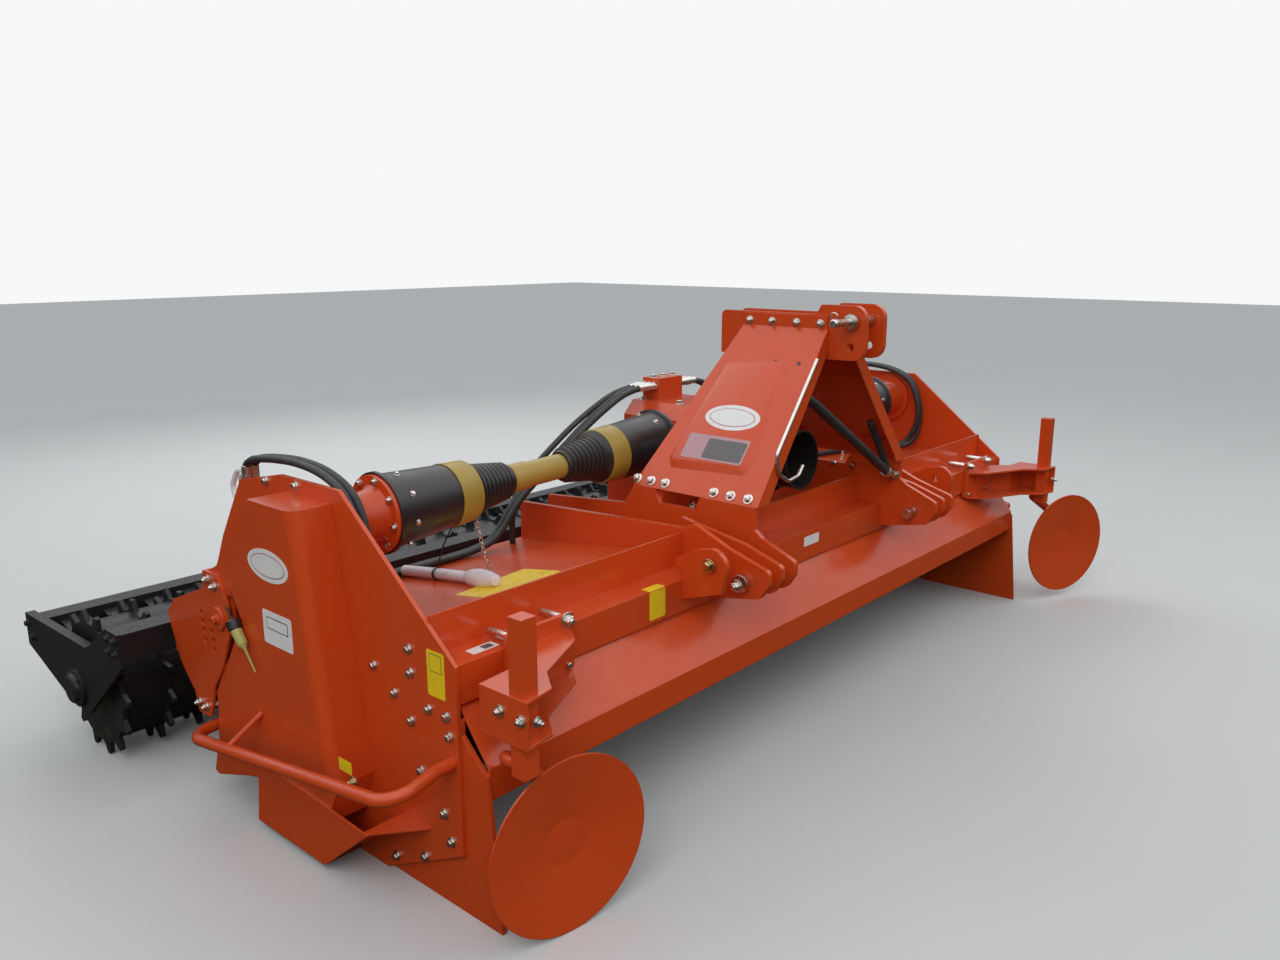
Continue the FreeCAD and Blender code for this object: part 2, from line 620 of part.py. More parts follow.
def side_drives():
    """Input housings on the end plates, and the guarded shafts to the gearbox."""
    house_length = Size(110, "110")
    housing = turned("InputHousing", [
        (0, 0), (0, 110), (16, 110), (16, 88), (60, 72), (house_length, 62), (house_length, 0)])
    inner = S.half_width - S.plate
    place(housing, (-inner, S.input_y, S.input_z))
    finish(fuse("InputHousings", [housing, mirrored("InputHousingLeft", housing)]), "input_housings")
    start = V(-float(inner) + 112, S.input_y, S.input_z)
    end = V(-float(S.gearbox_half) - 36, S.input_y, S.drive_z)
    length = start.distanceToPoint(end)
    tubes = []
    bell, band, cone = S.guard_bell, S.guard_band, S.guard_cone
    end_wall, bore = Size(12, "12"), S.guard_tube + S.seat_gap
    for side, sign in SIDES:
        at = V(start.x * -sign, start.y, start.z)
        way = V((end.x - start.x) * -sign, 0, end.z - start.z)
        tube_start = end_wall + S.seat_gap
        tube = turned(f"DriveTube{side}", [
            (tube_start, 0), (tube_start, S.guard_tube), (length - tube_start, S.guard_tube),
            (length - tube_start, 0)])
        tubes.append(place(tube, at, way))
        guards = []
        for end_name, from_end in (("outer", 0), ("inner", 1)):
            guard = turned(f"DriveGuard{side}{end_name}", [
                (0, 0), (0, S.guard_radius), (bell, S.guard_radius), (bell + band, S.guard_radius - 6),
                (bell + band + cone, S.guard_tube + 12), (bell + band + cone, bore), (end_wall, bore),
                (end_wall, 0)])
            if from_end:
                place(guard, at + way, -way)
            else:
                place(guard, at, way)
            guards.append(guard)
        finish(fuse(f"DriveGuards{side}", guards), f"drive_guards_{side}")
    finish(fuse("DriveTubes", tubes), "drive_tubes")


def gearbox():
    """The central gearbox on its foot, with the input stub and its guard."""
    body = plate("Gearbox", "XZ", S.gearbox_front, S.gearbox_rear - S.gearbox_front, [
        (-S.gearbox_half, S.pedestal_high + S.foot_plate), (S.gearbox_half, S.pedestal_high + S.foot_plate),
        (S.gearbox_half, S.gearbox_top - 50), (S.gearbox_half - 50, S.gearbox_top),
        (-S.gearbox_half + 50, S.gearbox_top), (-S.gearbox_half, S.gearbox_top - 50)])
    foot_half, foot_front, foot_rear = S.gearbox_half + 60, S.gearbox_front - 5, S.gearbox_rear + 30
    pad(body, "XY", S.pedestal_high, S.foot_plate, [
        (-foot_half, foot_front), (foot_half, foot_front), (foot_half, foot_rear), (-foot_half, foot_rear)])
    pad(body, "YZ", -foot_half, foot_half * 2, [
        (foot_front, deck_at(foot_front)), (foot_rear, deck_at(foot_rear)), (foot_rear, S.pedestal_high),
        (foot_front, S.pedestal_high)])
    pad(body, "YZ", -S.gearbox_half - 30, S.gearbox_half * 2 + 60, None, ((S.input_y, S.drive_z, 92),))
    pad(body, "XZ", S.gearbox_front - 40, Size(41, "41"), None, ((MIDDLE, S.pto_z, S.nose_radius),))
    pad(body, "XZ", S.gearbox_front - 40, Size(30, "30"), None,
        ((MIDDLE, S.pto_z, S.pto_radius + 12 + S.running),), cut=True)
    finish(body, "gearbox")
    stub = turned("PtoStub", [
        (0, 0), (0, S.pto_radius + 12), (29, S.pto_radius + 12), (29, S.pto_radius),
        (30 + S.pto_length, S.pto_radius), (30 + S.pto_length, 0)])
    finish(place(stub, (0, float(S.gearbox_front) - 10.5, S.pto_z), (0, -1, 0)), "pto_stub")
    collar = S.nose_radius + S.seat_gap
    guard = turned("PtoGuard", [
        (0, collar), (0, 96), (40, 112), (190, 121), (190, 117), (42, 108), (5, 92), (5, collar)])
    finish(place(guard, (0, float(S.gearbox_front) - 20, S.pto_z), (0, -1, 0)), "pto_guard")


def hitch():
    """Base plates with the lower hitch ears, the outer lugs and the pins."""
    span = S.hitch_gap + S.hitch_plate
    inner_x = S.hitch_half - S.hitch_gap / 2 - S.hitch_plate
    ear_hole = (S.hitch_y, S.hitch_z, S.hitch_pin + 0.2)
    under = S.beam_high - S.beam_side
    rail_front = S.beam_front + S.beam_side
    rail_rear = rail_front + S.sheet
    nose = [
        (S.beam_front, S.beam_high), (S.beam_front, under + 12), (S.hitch_y - 60, S.hitch_z - 40, 30),
        (S.hitch_y - 92, S.hitch_z + 8, 30), (S.hitch_y - 90, S.hitch_z + 48, 20)]
    over_rail = [
        (rail_rear, deck_at(rail_rear)), (rail_rear, S.rail_high), (rail_front, S.rail_high),
        (rail_front, S.beam_high)]
    short_end = rail_rear + 110
    to_rear = [(S.base_end, S.base_rear), (S.base_end, deck_at(S.base_end))]
    foot_start = S.foot_front + 8
    outlines = {
        "Outer": nose + [(S.hitch_y + 56, S.hitch_z + 92, 25), (S.beam_front + 55, S.base_top, 20),
                         (rail_rear, S.base_middle)] + to_rear + over_rail,
        "Middle": nose + [(S.hitch_y + 43, S.hitch_z + 92), (rail_rear + 54, S.base_top - 10),
                          (short_end, deck_at(short_end))] + over_rail,
        "Inner": nose + [(S.hitch_y + 30, S.hitch_z + 98), (foot_start, S.foot_z - 70),
                         (foot_start, S.foot_z), (S.foot_front + 220, S.foot_z),
                         (S.foot_front + 242, S.base_top), (S.foot_rear - 114, S.base_top),
                         (S.foot_rear - 92, S.foot_z), (S.foot_rear - 4, S.foot_z),
                         (S.foot_rear + 40, S.base_top - 25)] + to_rear + over_rail,
    }
    places = {"Inner": inner_x, "Middle": inner_x + span, "Outer": inner_x + span * 2}
    plates = [plate(f"Hitch{name}", "YZ", -(places[name] + S.hitch_plate), S.hitch_plate, outline,
                    (ear_hole,))
              for name, outline in outlines.items()]
    lug_rear = S.beam_front + 25
    lug = plate("HitchLug", "YZ", -(S.lug_x + S.hitch_plate / 2), S.hitch_plate, [
        (S.beam_front, S.beam_high - 60), (S.hitch_y - 12, S.beam_high - 14),
        (S.hitch_y - 35, S.beam_high + 80, 40), (S.hitch_y + 10, S.beam_high + 118, 40),
        (S.hitch_y + 75, S.beam_high + 104), (lug_rear, S.beam_high + 63), (lug_rear, S.beam_high + 37),
        (S.beam_front, S.beam_high + 33)], ((S.hitch_y + 38, S.beam_high + 63, 12.2),))
    tabs = []
    lean = S.leg_wall * S.leg_slant
    tab_top = S.foot_z + 80
    foot_line, top_line = leg_line(S.foot_z)[0] + lean, leg_line(tab_top)[0] + lean
    tab_thick = Size(14, "14")
    for name, start, length in (("Front", S.foot_front + 22, Size(190, "190")),
                                ("Rear", S.foot_rear - 112, Size(76, "76"))):
        tabs.append(plate(f"Tab{name}", "XZ", start, length, [
            (-inner_x, S.foot_z - 35), (-inner_x, S.foot_z), (foot_line, S.foot_z), (top_line, tab_top),
            (top_line + tab_thick, tab_top), (foot_line + tab_thick, S.foot_z),
            (foot_line + tab_thick, S.foot_z - 35)]))
    both_sides("hitch_base", fuse("HitchBase", plates + [lug] + tabs))
    pin_end = inner_x + span * 2 + S.hitch_plate
    held = pin_end - inner_x + 6
    groove = S.hitch_pin - 2.5
    head = S.hitch_pin + 9
    pin = turned("HitchPin", [
        (-20, 0), (-20, head), (-1, head), (-1, S.hitch_pin), (held, S.hitch_pin), (held, groove),
        (held + S.pin_groove, groove), (held + S.pin_groove, S.hitch_pin),
        (held + S.pin_groove + S.pin_free, S.hitch_pin), (held + S.pin_groove + S.pin_free, 0)])
    place(pin, (-float(pin_end), S.hitch_y, S.hitch_z))
    finish(fuse("HitchPins", [pin, mirrored("HitchPinLeft", pin)]), "hitch_pins")


def leg_line(height):
    """Where the outer face of the right-hand leg is at a height, and its section there."""
    foot_x = -(S.hitch_half - S.hitch_gap / 2)
    top_x = -(S.ear_gap / 2 + S.ear_thick + S.leg_wall)
    share = (height - S.foot_z) / (S.leg_top - S.foot_z)
    x = foot_x + (top_x - foot_x) * share
    front = S.foot_front + (S.leg_front - S.foot_front) * share
    rear = S.foot_rear + (S.leg_rear - S.foot_rear) * share
    return x, front, rear


def leg_block(name, inset, open_side):
    """A tapered block from a leg's foot to its top, drawn between two level rectangles."""
    lean = inset * S.leg_slant
    sections = []
    for height in (S.foot_z, S.leg_top):
        x, front, rear = leg_line(height)
        sketch = doc.addObject("Sketcher::SketchObject", name + "Section")
        sketch.setExpression("Placement.Base.z", formula_of(height))
        far = x + S.leg_flange + open_side
        draw_line(sketch, [(x + lean, front + inset), (far, front + inset), (far, rear - inset),
                           (x + lean, rear - inset)])
        sections.append(sketch)
    loft = doc.addObject("Part::Loft", name)
    loft.Sections = sections
    loft.Solid = True
    loft.Ruled = True
    return loft


def tower():
    """The two sloping legs and the top-link plates that they carry."""
    half = S.ear_gap / 2
    ear_face = half + S.ear_thick
    channel = cut("LegChannel", leg_block("LegOuter", MIDDLE, MIDDLE),
                  leg_block("LegInner", S.leg_wall, Size(40, "40")))
    room = plate("EarRoom", "YZ", -ear_face, ear_face * 2, [
        (S.ear_front, S.ear_low - 6), (S.ear_rear, S.ear_low - 6), (S.ear_rear, S.ear_nose_high),
        (S.ear_front, S.ear_nose_high)])
    strap_front, strap_rear = S.leg_front + 4, S.leg_rear - 2
    strap = plate("LegStrap", "YZ", -ear_face - S.leg_wall, S.leg_wall, [
        (strap_front, S.leg_top - 4), (strap_rear, S.leg_top - 4), (strap_rear, S.ear_high - 3),
        (strap_front, S.ear_high - 3)])
    both_sides("tower_leg", fuse("Leg", [cut("LegBelow", channel, room), strap]))
    outline = [
        (S.ear_front, S.ear_low + 5, S.ear_round), (S.ear_rear, S.ear_low), (S.ear_rear, S.ear_high, 18),
        (S.ear_step + 12, S.ear_high, 12), (S.ear_step - 6, S.ear_nose_high, 10),
        (S.ear_front, S.ear_nose_high, S.ear_round)]
    hole = ((S.top_pin_y, S.top_pin_z, S.top_pin + 0.2),
            (S.top_pin_y + 8, S.top_pin_z - S.spare_hole_down, S.spare_hole))
    ears = plate("Ears", "YZ", -half - S.ear_thick, S.ear_thick, outline, hole)
    pad(ears, "YZ", half, S.ear_thick, outline, hole)
    pad(ears, "YZ", -half, S.ear_gap, None, ((110, S.ear_low + 60, 22), (430, S.ear_low + 60, 22)))
    finish(ears, "top_link_plates")
    neck = S.pin_free + S.pin_groove
    head = neck + S.ear_gap + S.ear_thick * 2 + 12
    pin = turned("TopPin", [
        (0, 0), (0, S.top_pin), (S.pin_free, S.top_pin), (S.pin_free, S.top_pin - 2.5),
        (neck, S.top_pin - 2.5), (neck, S.top_pin), (head, S.top_pin), (head, S.top_pin + 9),
        (head + 15, S.top_pin + 9), (head + 15, 0)])
    place(pin, (float(half + S.ear_thick + neck) + 6, S.top_pin_y, S.top_pin_z), (-1, 0, 0))
    finish(pin, "top_link_pin")


def disc_bracket(side, sign):
    """A clamp on the beam, and its channel-shaped arm with an end box for the disc's post."""
    low, high, wall = S.arm_low, S.arm_high, S.arm_wall
    x_in, x_out = S.clamp_x - S.clamp_width / 2, S.clamp_x + S.clamp_width / 2
    clamp_front = S.beam_front - S.clamp_plate
    end_x = S.post_x + S.post_side / 2 + wall
    front, rear = S.box_front, S.box_rear
    front_line = [(-end_x, front), (-end_x + 92, front + 16), (-end_x + 148, front + 90),
                  (-x_in - 62, clamp_front - 66), (-x_in - 12, clamp_front)]
    rear_line = [(-x_out + 8, clamp_front), (-end_x + 105, rear + 10), (-end_x, rear)]
    inner_line = [(-x_out + 8 + wall, clamp_front - wall / 2), (-end_x + 105, rear + 10 - wall),
                  (-end_x + wall, rear - wall)]
    arm = plate(f"Arm{side}", "XY", low, high - low, front_line + rear_line)
    room = [(-end_x + wall, front - 2), (-end_x + 96, front - 2), (-x_in - 4, clamp_front - 80),
            (-x_in - 4, clamp_front - wall / 2)] + inner_line
    pad(arm, "XY", low + wall, high - low - wall * 2, room, cut=True)
    snug = S.post_side / 2 + 0.2
    pad(arm, "XY", low - 1, high - low + 2, [
        (-S.post_x - snug, S.post_y - snug), (-S.post_x + snug, S.post_y - snug),
        (-S.post_x + snug, S.post_y + snug), (-S.post_x - snug, S.post_y + snug)], cut=True)
    clamp_high, clamp_low = S.beam_high + S.clamp_over, S.beam_high - S.beam_side - S.clamp_under
    clamp = plate(f"Clamp{side}", "YZ", -x_out, S.clamp_width, [
        (S.beam_front, clamp_high), (clamp_front, clamp_high), (clamp_front, clamp_low),
        (S.beam_front, clamp_low)])
    whole = fuse(f"Bracket{side}", [arm, clamp])
    if sign > 0:
        whole = mirrored(f"Bracket{side}Twin", whole)
    finish(whole, f"disc_bracket_{side}")
    x = S.post_x * sign
    half = S.post_side / 2
    raised = S.left_raise if sign > 0 else MIDDLE
    return plate(f"Post{side}", "XY", S.post_low + raised, S.post_top - S.post_low, [
        (x - half, S.post_y - half), (x + half, S.post_y - half), (x + half, S.post_y + half),
        (x - half, S.post_y + half)])


def discs():
    """Two dished discs, each on an axle carried by its post."""
    for side, sign in SIDES:
        post = disc_bracket(side, sign)
        left = sign > 0
        turn = math.radians(S.disc_left_turn if left else S.disc_right_turn)
        back = V(-math.sin(turn), math.cos(turn), 0)
        raised = float(S.left_raise) if left else 0
        centre = V(S.disc_left_x if left else S.disc_right_x, S.disc_left_y if left else S.disc_y,
                   S.disc_radius + raised)
        disc_thick, dish, hub = S.disc_thick, S.disc_dish, S.hub_radius
        disc = turned(f"Disc{side}", [
            (dish, 0), (dish, hub + 12), (dish * 0.62, S.disc_radius * 0.55), (0, S.disc_radius),
            (disc_thick, S.disc_radius), (dish * 0.62 + disc_thick, S.disc_radius * 0.55),
            (dish + disc_thick, hub + 12), (dish + disc_thick, hub), (dish + 44, hub),
            (dish + 44, S.axle_radius + S.running), (dish + disc_thick + 4, S.axle_radius + S.running),
            (dish + disc_thick + 4, 0)])
        finish(place(disc, centre, back), f"disc_{side}")
        axle = turned(f"Axle{side}", [
            (dish + disc_thick + 6, 0), (dish + disc_thick + 6, S.axle_radius), (dish + 60, S.axle_radius),
            (dish + 60, 30), (dish + 96, 30), (dish + 96, 0)])
        place(axle, centre, back, SEAM_TURN)
        boss = centre + back * (float(dish) + 79)
        foot = V(float(S.post_x) * sign, S.post_y, float(S.post_low) + raised + 22)
        behind = boss.y + 12
        link = shape_object(f"Link{side}", swept([
            foot, V(foot.x, behind, foot.z), V(boss.x, boss.y, boss.z + 130), boss], 45, S.shank_radius))
        finish(fuse(f"PostAssembly{side}", [post, axle, link]), f"disc_post_{side}")


def bows():
    """Round guard bows outboard of the gear cases."""
    inner, out = -float(S.half_width), -float(S.half_width + S.bow_out)
    path = [(inner, 150, 405), (inner - 45, 150, 405), (out, 115, 395), (out, 1110, 232),
            (inner - 45, 1130, 232), (inner - 9, 1130, 232)]
    tube = shape_object("Bow", swept(path, float(S.bow_bend), S.bow_radius))
    foot = plate("BowFoot", "YZ", -S.half_width - 10, Size(10, "10"), [
        (1102, 204), (1150, 204), (1158, 260), (1102, 260)])
    both_sides("guard_bow", fuse("GuardBow", [tube, foot]))


def blade(angle, side):
    """One L-shaped tine, with its shank on the face of its flange."""
    thick, width, reach, bend = float(S.tine_thick), float(S.tine_width), float(S.tine_reach), 35.0
    tip, root = float(S.rotor_radius), float(S.flange_radius) - 58
    face = float(S.flange_thick) / 2
    corner = math.sqrt(0.5) * bend
    outer = [V(face, 0, root), V(face, 0, tip - bend), V(face + bend - corner, 0, tip - bend + corner),
             V(face + bend, 0, tip), V(face + reach, 0, tip)]
    inner = [V(face + reach, 0, tip - thick), V(face + bend, 0, tip - thick),
             V(face + bend - corner * (bend - thick) / bend, 0, tip - bend + corner * (bend - thick) / bend),
             V(face + thick, 0, tip - bend), V(face + thick, 0, root)]
    profile = Part.Wire([
        Part.LineSegment(outer[0], outer[1]).toShape(), Part.Arc(outer[1], outer[2], outer[3]).toShape(),
        Part.LineSegment(outer[3], outer[4]).toShape(), Part.LineSegment(outer[4], inner[0]).toShape(),
        Part.LineSegment(inner[0], inner[1]).toShape(), Part.Arc(inner[1], inner[2], inner[3]).toShape(),
        Part.LineSegment(inner[3], inner[4]).toShape(), Part.LineSegment(inner[4], outer[0]).toShape()])
    solid = Part.Face(profile).extrude(V(0, width, 0))
    solid.translate(V(0, -width / 2, 0))
    if side < 0:
        solid = solid.mirror(V(0, 0, 0), X_AXIS)
    solid.rotate(V(0, 0, 0), X_AXIS, angle)
    return solid


def rotor():
    """The tined rotor: a tube with flanges, each carrying L-shaped tines on both faces."""
    inner = float(S.half_width - S.plate * 2) - 14
    half = inner - 6
    tube = Part.makeCylinder(float(S.rotor_tube), half * 2, V(-half, 0, 0), X_AXIS)
    stub_half = float(S.half_width - S.plate) - 1
    stub = Part.makeCylinder(float(S.rotor_stub), stub_half * 2, V(-stub_half, 0, 0), X_AXIS)
    count = int(S.rotor_flanges)
    tines = int(S.tines_each_way)
    margin = float(S.tine_reach) + float(S.flange_thick) + 6
    pitch = (half - margin) * 2 / (count - 1)
    pieces = []
    for index in range(count):
        x = -half + margin + index * pitch
        flange = Part.makeCylinder(float(S.flange_radius), float(S.flange_thick),
                                   V(-float(S.flange_thick) / 2, 0, 0), X_AXIS)
        blades = []
        for number in range(tines):
            step = 360 / tines
            turn = index * 27
            blades.append(blade(number * step + turn, 1))
            blades.append(blade((number + 0.5) * step + turn, -1))
        star = flange.multiFuse(blades)
        star.translate(V(x, 0, 0))
        pieces.append(star)
    whole = tube.multiFuse([stub] + pieces)
    whole.translate(V(0, S.rotor_y, S.rotor_z))
    finish(shape_object("Rotor", whole), "rotor")


def roller_ring():
    """One toothed ring, as a star-shaped plate."""
    teeth = int(S.ring_teeth)
    points = []
    for tooth in range(teeth):
        for share, radius in ((0, float(S.roller_radius)), (0.16, float(S.roller_radius)),
                              (0.34, float(S.roller_drum) + 8), (0.82, float(S.roller_drum) + 8)):
            angle = math.tau * (tooth + share) / teeth
            points.append(V(0, radius * math.cos(angle), radius * math.sin(angle)))
    ring = Part.Face(Part.makePolygon(points + points[:1])).extrude(V(float(S.ring_thick), 0, 0))
    ring.translate(V(-float(S.ring_thick) / 2, 0, 0))
    return ring


def roller():
    """The toothed packer roller on its two stubs."""
    half = float(S.roller_half)
    drum = Part.makeCylinder(float(S.roller_drum), half * 2, V(-half, 0, 0), X_AXIS)
    bore = Part.makeCylinder(float(S.roller_drum) - 10, half * 2 - 60, V(-half + 30, 0, 0), X_AXIS)
    stub = float(S.frame_half) - 1
    axle = Part.makeCylinder(float(S.roller_stub), stub * 2, V(-stub, 0, 0), X_AXIS)
    rings = []
    count = int(S.roller_rings)
    pitch = (half * 2 - float(S.ring_thick)) / (count - 1)
    for index in range(count):
        ring = roller_ring()
        ring.rotate(V(0, 0, 0), X_AXIS, index * 360 / float(S.ring_teeth) / 3)
        ring.translate(V(-half + float(S.ring_thick) / 2 + index * pitch, 0, 0))
        rings.append(ring)
    whole = drum.cut(bore).multiFuse([axle] + rings)
    whole.translate(V(0, S.roller_y, S.roller_radius))
    finish(shape_object("Roller", whole), "roller")


def roller_arm():
    """An arm of two side plates, on a pin through its end plate and its housing."""
    outer = S.case_x - S.arm_in
    top = S.front_tube_z + S.front_tube
    outline = [
        (S.pivot_y - 45, S.pivot_z - 45, 40), (S.pivot_y + 20, S.pivot_z - 75, 60),
        (S.front_tube_y, S.front_tube_z - 10), (S.front_tube_y, top + 20),
        (S.front_tube_y - 75, top + 72, 30), (S.pivot_y - 20, S.pivot_z + 66, 28),
        (S.pivot_y - 45, S.pivot_z + 40, 24)]
    arm = plate("RollerArm", "YZ", -outer, S.arm_plate, outline)
    pad(arm, "YZ", -S.half_width - S.arm_plate - 4, S.arm_plate, outline)
    pad(arm, "YZ", -outer + S.arm_plate / 2, outer - S.half_width - S.arm_plate, None,
        ((S.front_tube_y - 75, top - 10, S.jack_pin),))
    pin_start = S.case_x + S.housing_plate - 1
    pad(arm, "YZ", -pin_start, pin_start - S.half_width + S.plate - 1, None,
        ((S.pivot_y, S.pivot_z, S.pivot_pin),))
    return arm


def roller_frame():
    """The roller's frame: two beams, side plates with bearings, a row of scrapers and the cylinders' lugs."""
    half = S.frame_half - S.frame_plate
    front = plate("FrontTube", "YZ", -half, half * 2, [
        (S.front_tube_y, S.front_tube_z), (S.front_tube_y + S.front_tube, S.front_tube_z),
        (S.front_tube_y + S.front_tube, S.front_tube_z + S.front_tube),
        (S.front_tube_y, S.front_tube_z + S.front_tube)])
    rear = plate("RearTube", "YZ", -half, half * 2, [
        (S.rear_tube_y, S.rear_tube_z), (S.rear_tube_y + S.rear_tube, S.rear_tube_z),
        (S.rear_tube_y + S.rear_tube, S.rear_tube_z + S.rear_tube),
        (S.rear_tube_y, S.rear_tube_z + S.rear_tube)])
    rear_end = S.rear_tube_y + S.rear_tube
    knee = S.front_tube_y + S.front_tube + 175
    outline = [
        (S.front_tube_y, S.front_tube_z - 20), (S.roller_y - 70, S.roller_radius - 70),
        (S.roller_y + 70, S.roller_radius - 70), (rear_end, S.rear_tube_z - 20),
        (rear_end, S.rear_tube_z + S.rear_tube + 5), (knee, S.side_high),
        (S.front_tube_y + S.front_tube, S.front_tube_z + S.front_tube + 2),
        (S.front_tube_y, S.front_tube_z + S.front_tube + 2)]
    bearing = ((S.roller_y, S.roller_radius, S.roller_stub + S.running),)
    lip_outline = [
        (knee, S.side_high), (rear_end, S.rear_tube_z + S.rear_tube + 5),
        (rear_end, S.rear_tube_z + S.rear_tube + 13), (knee, S.side_high + 8)]
    pieces = [front, rear]
    for side, sign in SIDES:
        start = -S.frame_half if sign < 0 else half
        pieces.append(plate(f"FramePlate{side}", "YZ", start, S.frame_plate, outline, bearing))
        lip_start = start if sign < 0 else S.frame_half - S.side_lip
        pieces.append(plate(f"FrameLip{side}", "YZ", lip_start, S.side_lip, lip_outline))
        pieces.append(jack_lugs(side, sign))
    count = int(S.roller_rings) - 1
    pitch = (float(S.roller_half) * 2 - float(S.ring_thick)) / count
    reach = float(S.roller_drum) + float(S.scraper_gap)
    lean = math.radians(22)
    tip = V(0, float(S.roller_y) + reach * math.cos(lean), float(S.roller_radius) + reach * math.sin(lean))
    root = V(0, S.rear_tube_y, float(S.rear_tube_z) + 50)
    slope = V(0, tip.z - root.z, root.y - tip.y).normalize() * 8
    seat = V(0, S.rear_tube_y, root.z + 8 * 8 / slope.z)
    profile = Part.Face(Part.makePolygon([tip, root, seat, tip + slope, tip]))
    scrapers = []
    for index in range(count):
        x = -float(S.roller_half) + float(S.ring_thick) / 2 + (index + 0.5) * pitch
        scraper = profile.extrude(V(float(S.scraper_width), 0, 0))
        scraper.translate(V(x - float(S.scraper_width) / 2, 0, 0))
        scrapers.append(scraper)
    pieces.append(shape_object("Scrapers", Part.makeCompound(scrapers)))
    arm = roller_arm()
    whole = doc.addObject("Part::Compound", "RollerFrame")
    whole.Links = [fuse("Frame", pieces), arm, mirrored("RollerArmLeft", arm)]
    finish(whole, "roller_frame")


def jack_lugs(side, sign):
    """Two lugs in front of the roller frame's front beam, with a cylinder's lower pin."""
    outline = [
        (S.front_tube_y, S.front_tube_z + 10), (S.front_tube_y, S.front_tube_z + S.front_tube),
        (S.arm_lug_y + 28, S.arm_lug_z + 30, 22), (S.arm_lug_y - 26, S.arm_lug_z + 30, 22),
        (S.arm_lug_y - 26, S.arm_lug_z - 28, 22)]
    middle = S.jack_x * sign
    half_gap = Size(22, "22")
    lugs = plate(f"JackLugs{side}", "YZ", middle - half_gap - S.lug_plate, S.lug_plate, outline)
    pad(lugs, "YZ", middle + half_gap, S.lug_plate, outline)
    pad(lugs, "YZ", middle - half_gap - S.lug_plate, (half_gap + S.lug_plate) * 2, None,
        ((S.arm_lug_y, S.arm_lug_z, S.jack_pin),))
    return lugs


def arm_housings():
    """Fixed housings behind the gear cases, outboard of the roller's arms, with rows of holes."""
    hole_rows = []
    for y, z in ((108, 8), (58, 26)):
        hole_rows += [(S.pivot_y + y - 3 * number, S.pivot_z - z - 27 * number, S.adjust_hole)
                      for number in range(4)]
    cheek = plate("HousingCheek", "YZ", -S.case_x - S.housing_plate, S.housing_plate, [
        (S.pivot_y, S.housing_top, 10), (S.pivot_y + 78, S.housing_top, 12),
        (S.pivot_y + 92, S.pivot_z + 68, 10),
        (S.housing_rear - 51, S.pivot_z - 8, 15), (S.housing_rear, S.pivot_z - 60, 20),
        (S.housing_rear - 58, S.pivot_z - 200, 30), (S.pivot_y + 240, S.pivot_z - 240),
        (S.pivot_y + 200, S.pivot_z - 278), (S.pivot_y + 188, S.housing_low, 10),
        (S.pivot_y + 118, S.housing_low, 10), (S.pivot_y + 97, S.pivot_z - 299),
        (S.pivot_y + 78, S.pivot_z - 235, 20), (S.pivot_y + 12, S.pivot_z - 153, 60),
        (S.pivot_y - 48, S.pivot_z - 40, 60), (S.pivot_y - 52, S.pivot_z + 45, 40),
        (S.pivot_y - 25, S.pivot_z + 100)],
        [(S.pivot_y, S.pivot_z, S.pivot_pin + S.running)] + hole_rows)
    top = plate("HousingTop", "YZ", -S.case_x - 1, S.case_depth + 1, [
        (S.pivot_y + 64, S.housing_top - 30), (S.pivot_y + 72, S.housing_top - 30),
        (S.pivot_y + 72, S.housing_top), (S.pivot_y + 64, S.housing_top)])
    bottom = plate("HousingBottom", "YZ", -S.case_x - 1, S.case_depth + 1, [
        (S.pivot_y + 150, S.housing_low + 6), (S.pivot_y + 180, S.housing_low + 6),
        (S.pivot_y + 180, S.housing_low + 14), (S.pivot_y + 150, S.housing_low + 14)])
    both_sides("arm_housing", fuse("ArmHousing", [cheek, top, bottom]))


def cylinders():
    """Hydraulic cylinders inboard of the end plates, down to the lugs of the roller's frame."""
    top = V(-float(S.jack_x), S.jack_top_y, S.jack_top_z)
    low = V(-float(S.jack_x), S.arm_lug_y, S.arm_lug_z)
    length = top.distanceToPoint(low)
    way = low - top
    barrel_length = length - 110
    eye = S.jack_pin + 12
    barrel = turned("Barrel", [
        (18, 0), (18, S.jack_radius), (barrel_length, S.jack_radius),
        (barrel_length, S.rod_radius + S.running), (24, S.rod_radius + S.running), (24, 0)])
    place(barrel, top, way)
    ring = plate("BarrelEye", "YZ", -S.jack_x - 18, Size(36, "36"), None, (
        (S.jack_top_y, S.jack_top_z, eye), (S.jack_top_y, S.jack_top_z, S.jack_pin + S.running)))
    both_sides("cylinder_barrel", fuse("CylinderBarrel", [barrel, ring]))
    rod = turned("Rod", [
        (100, 0), (100, S.rod_radius), (length - 24, S.rod_radius), (length - 24, 0)])
    place(rod, top, way)
    eye_ring = plate("RodEye", "YZ", -S.jack_x - 17, Size(34, "34"), None, (
        (S.arm_lug_y, S.arm_lug_z, S.jack_pin + 16), (S.arm_lug_y, S.arm_lug_z, S.jack_pin + 3)))
    both_sides("cylinder_rod", fuse("CylinderRod", [rod, eye_ring]))


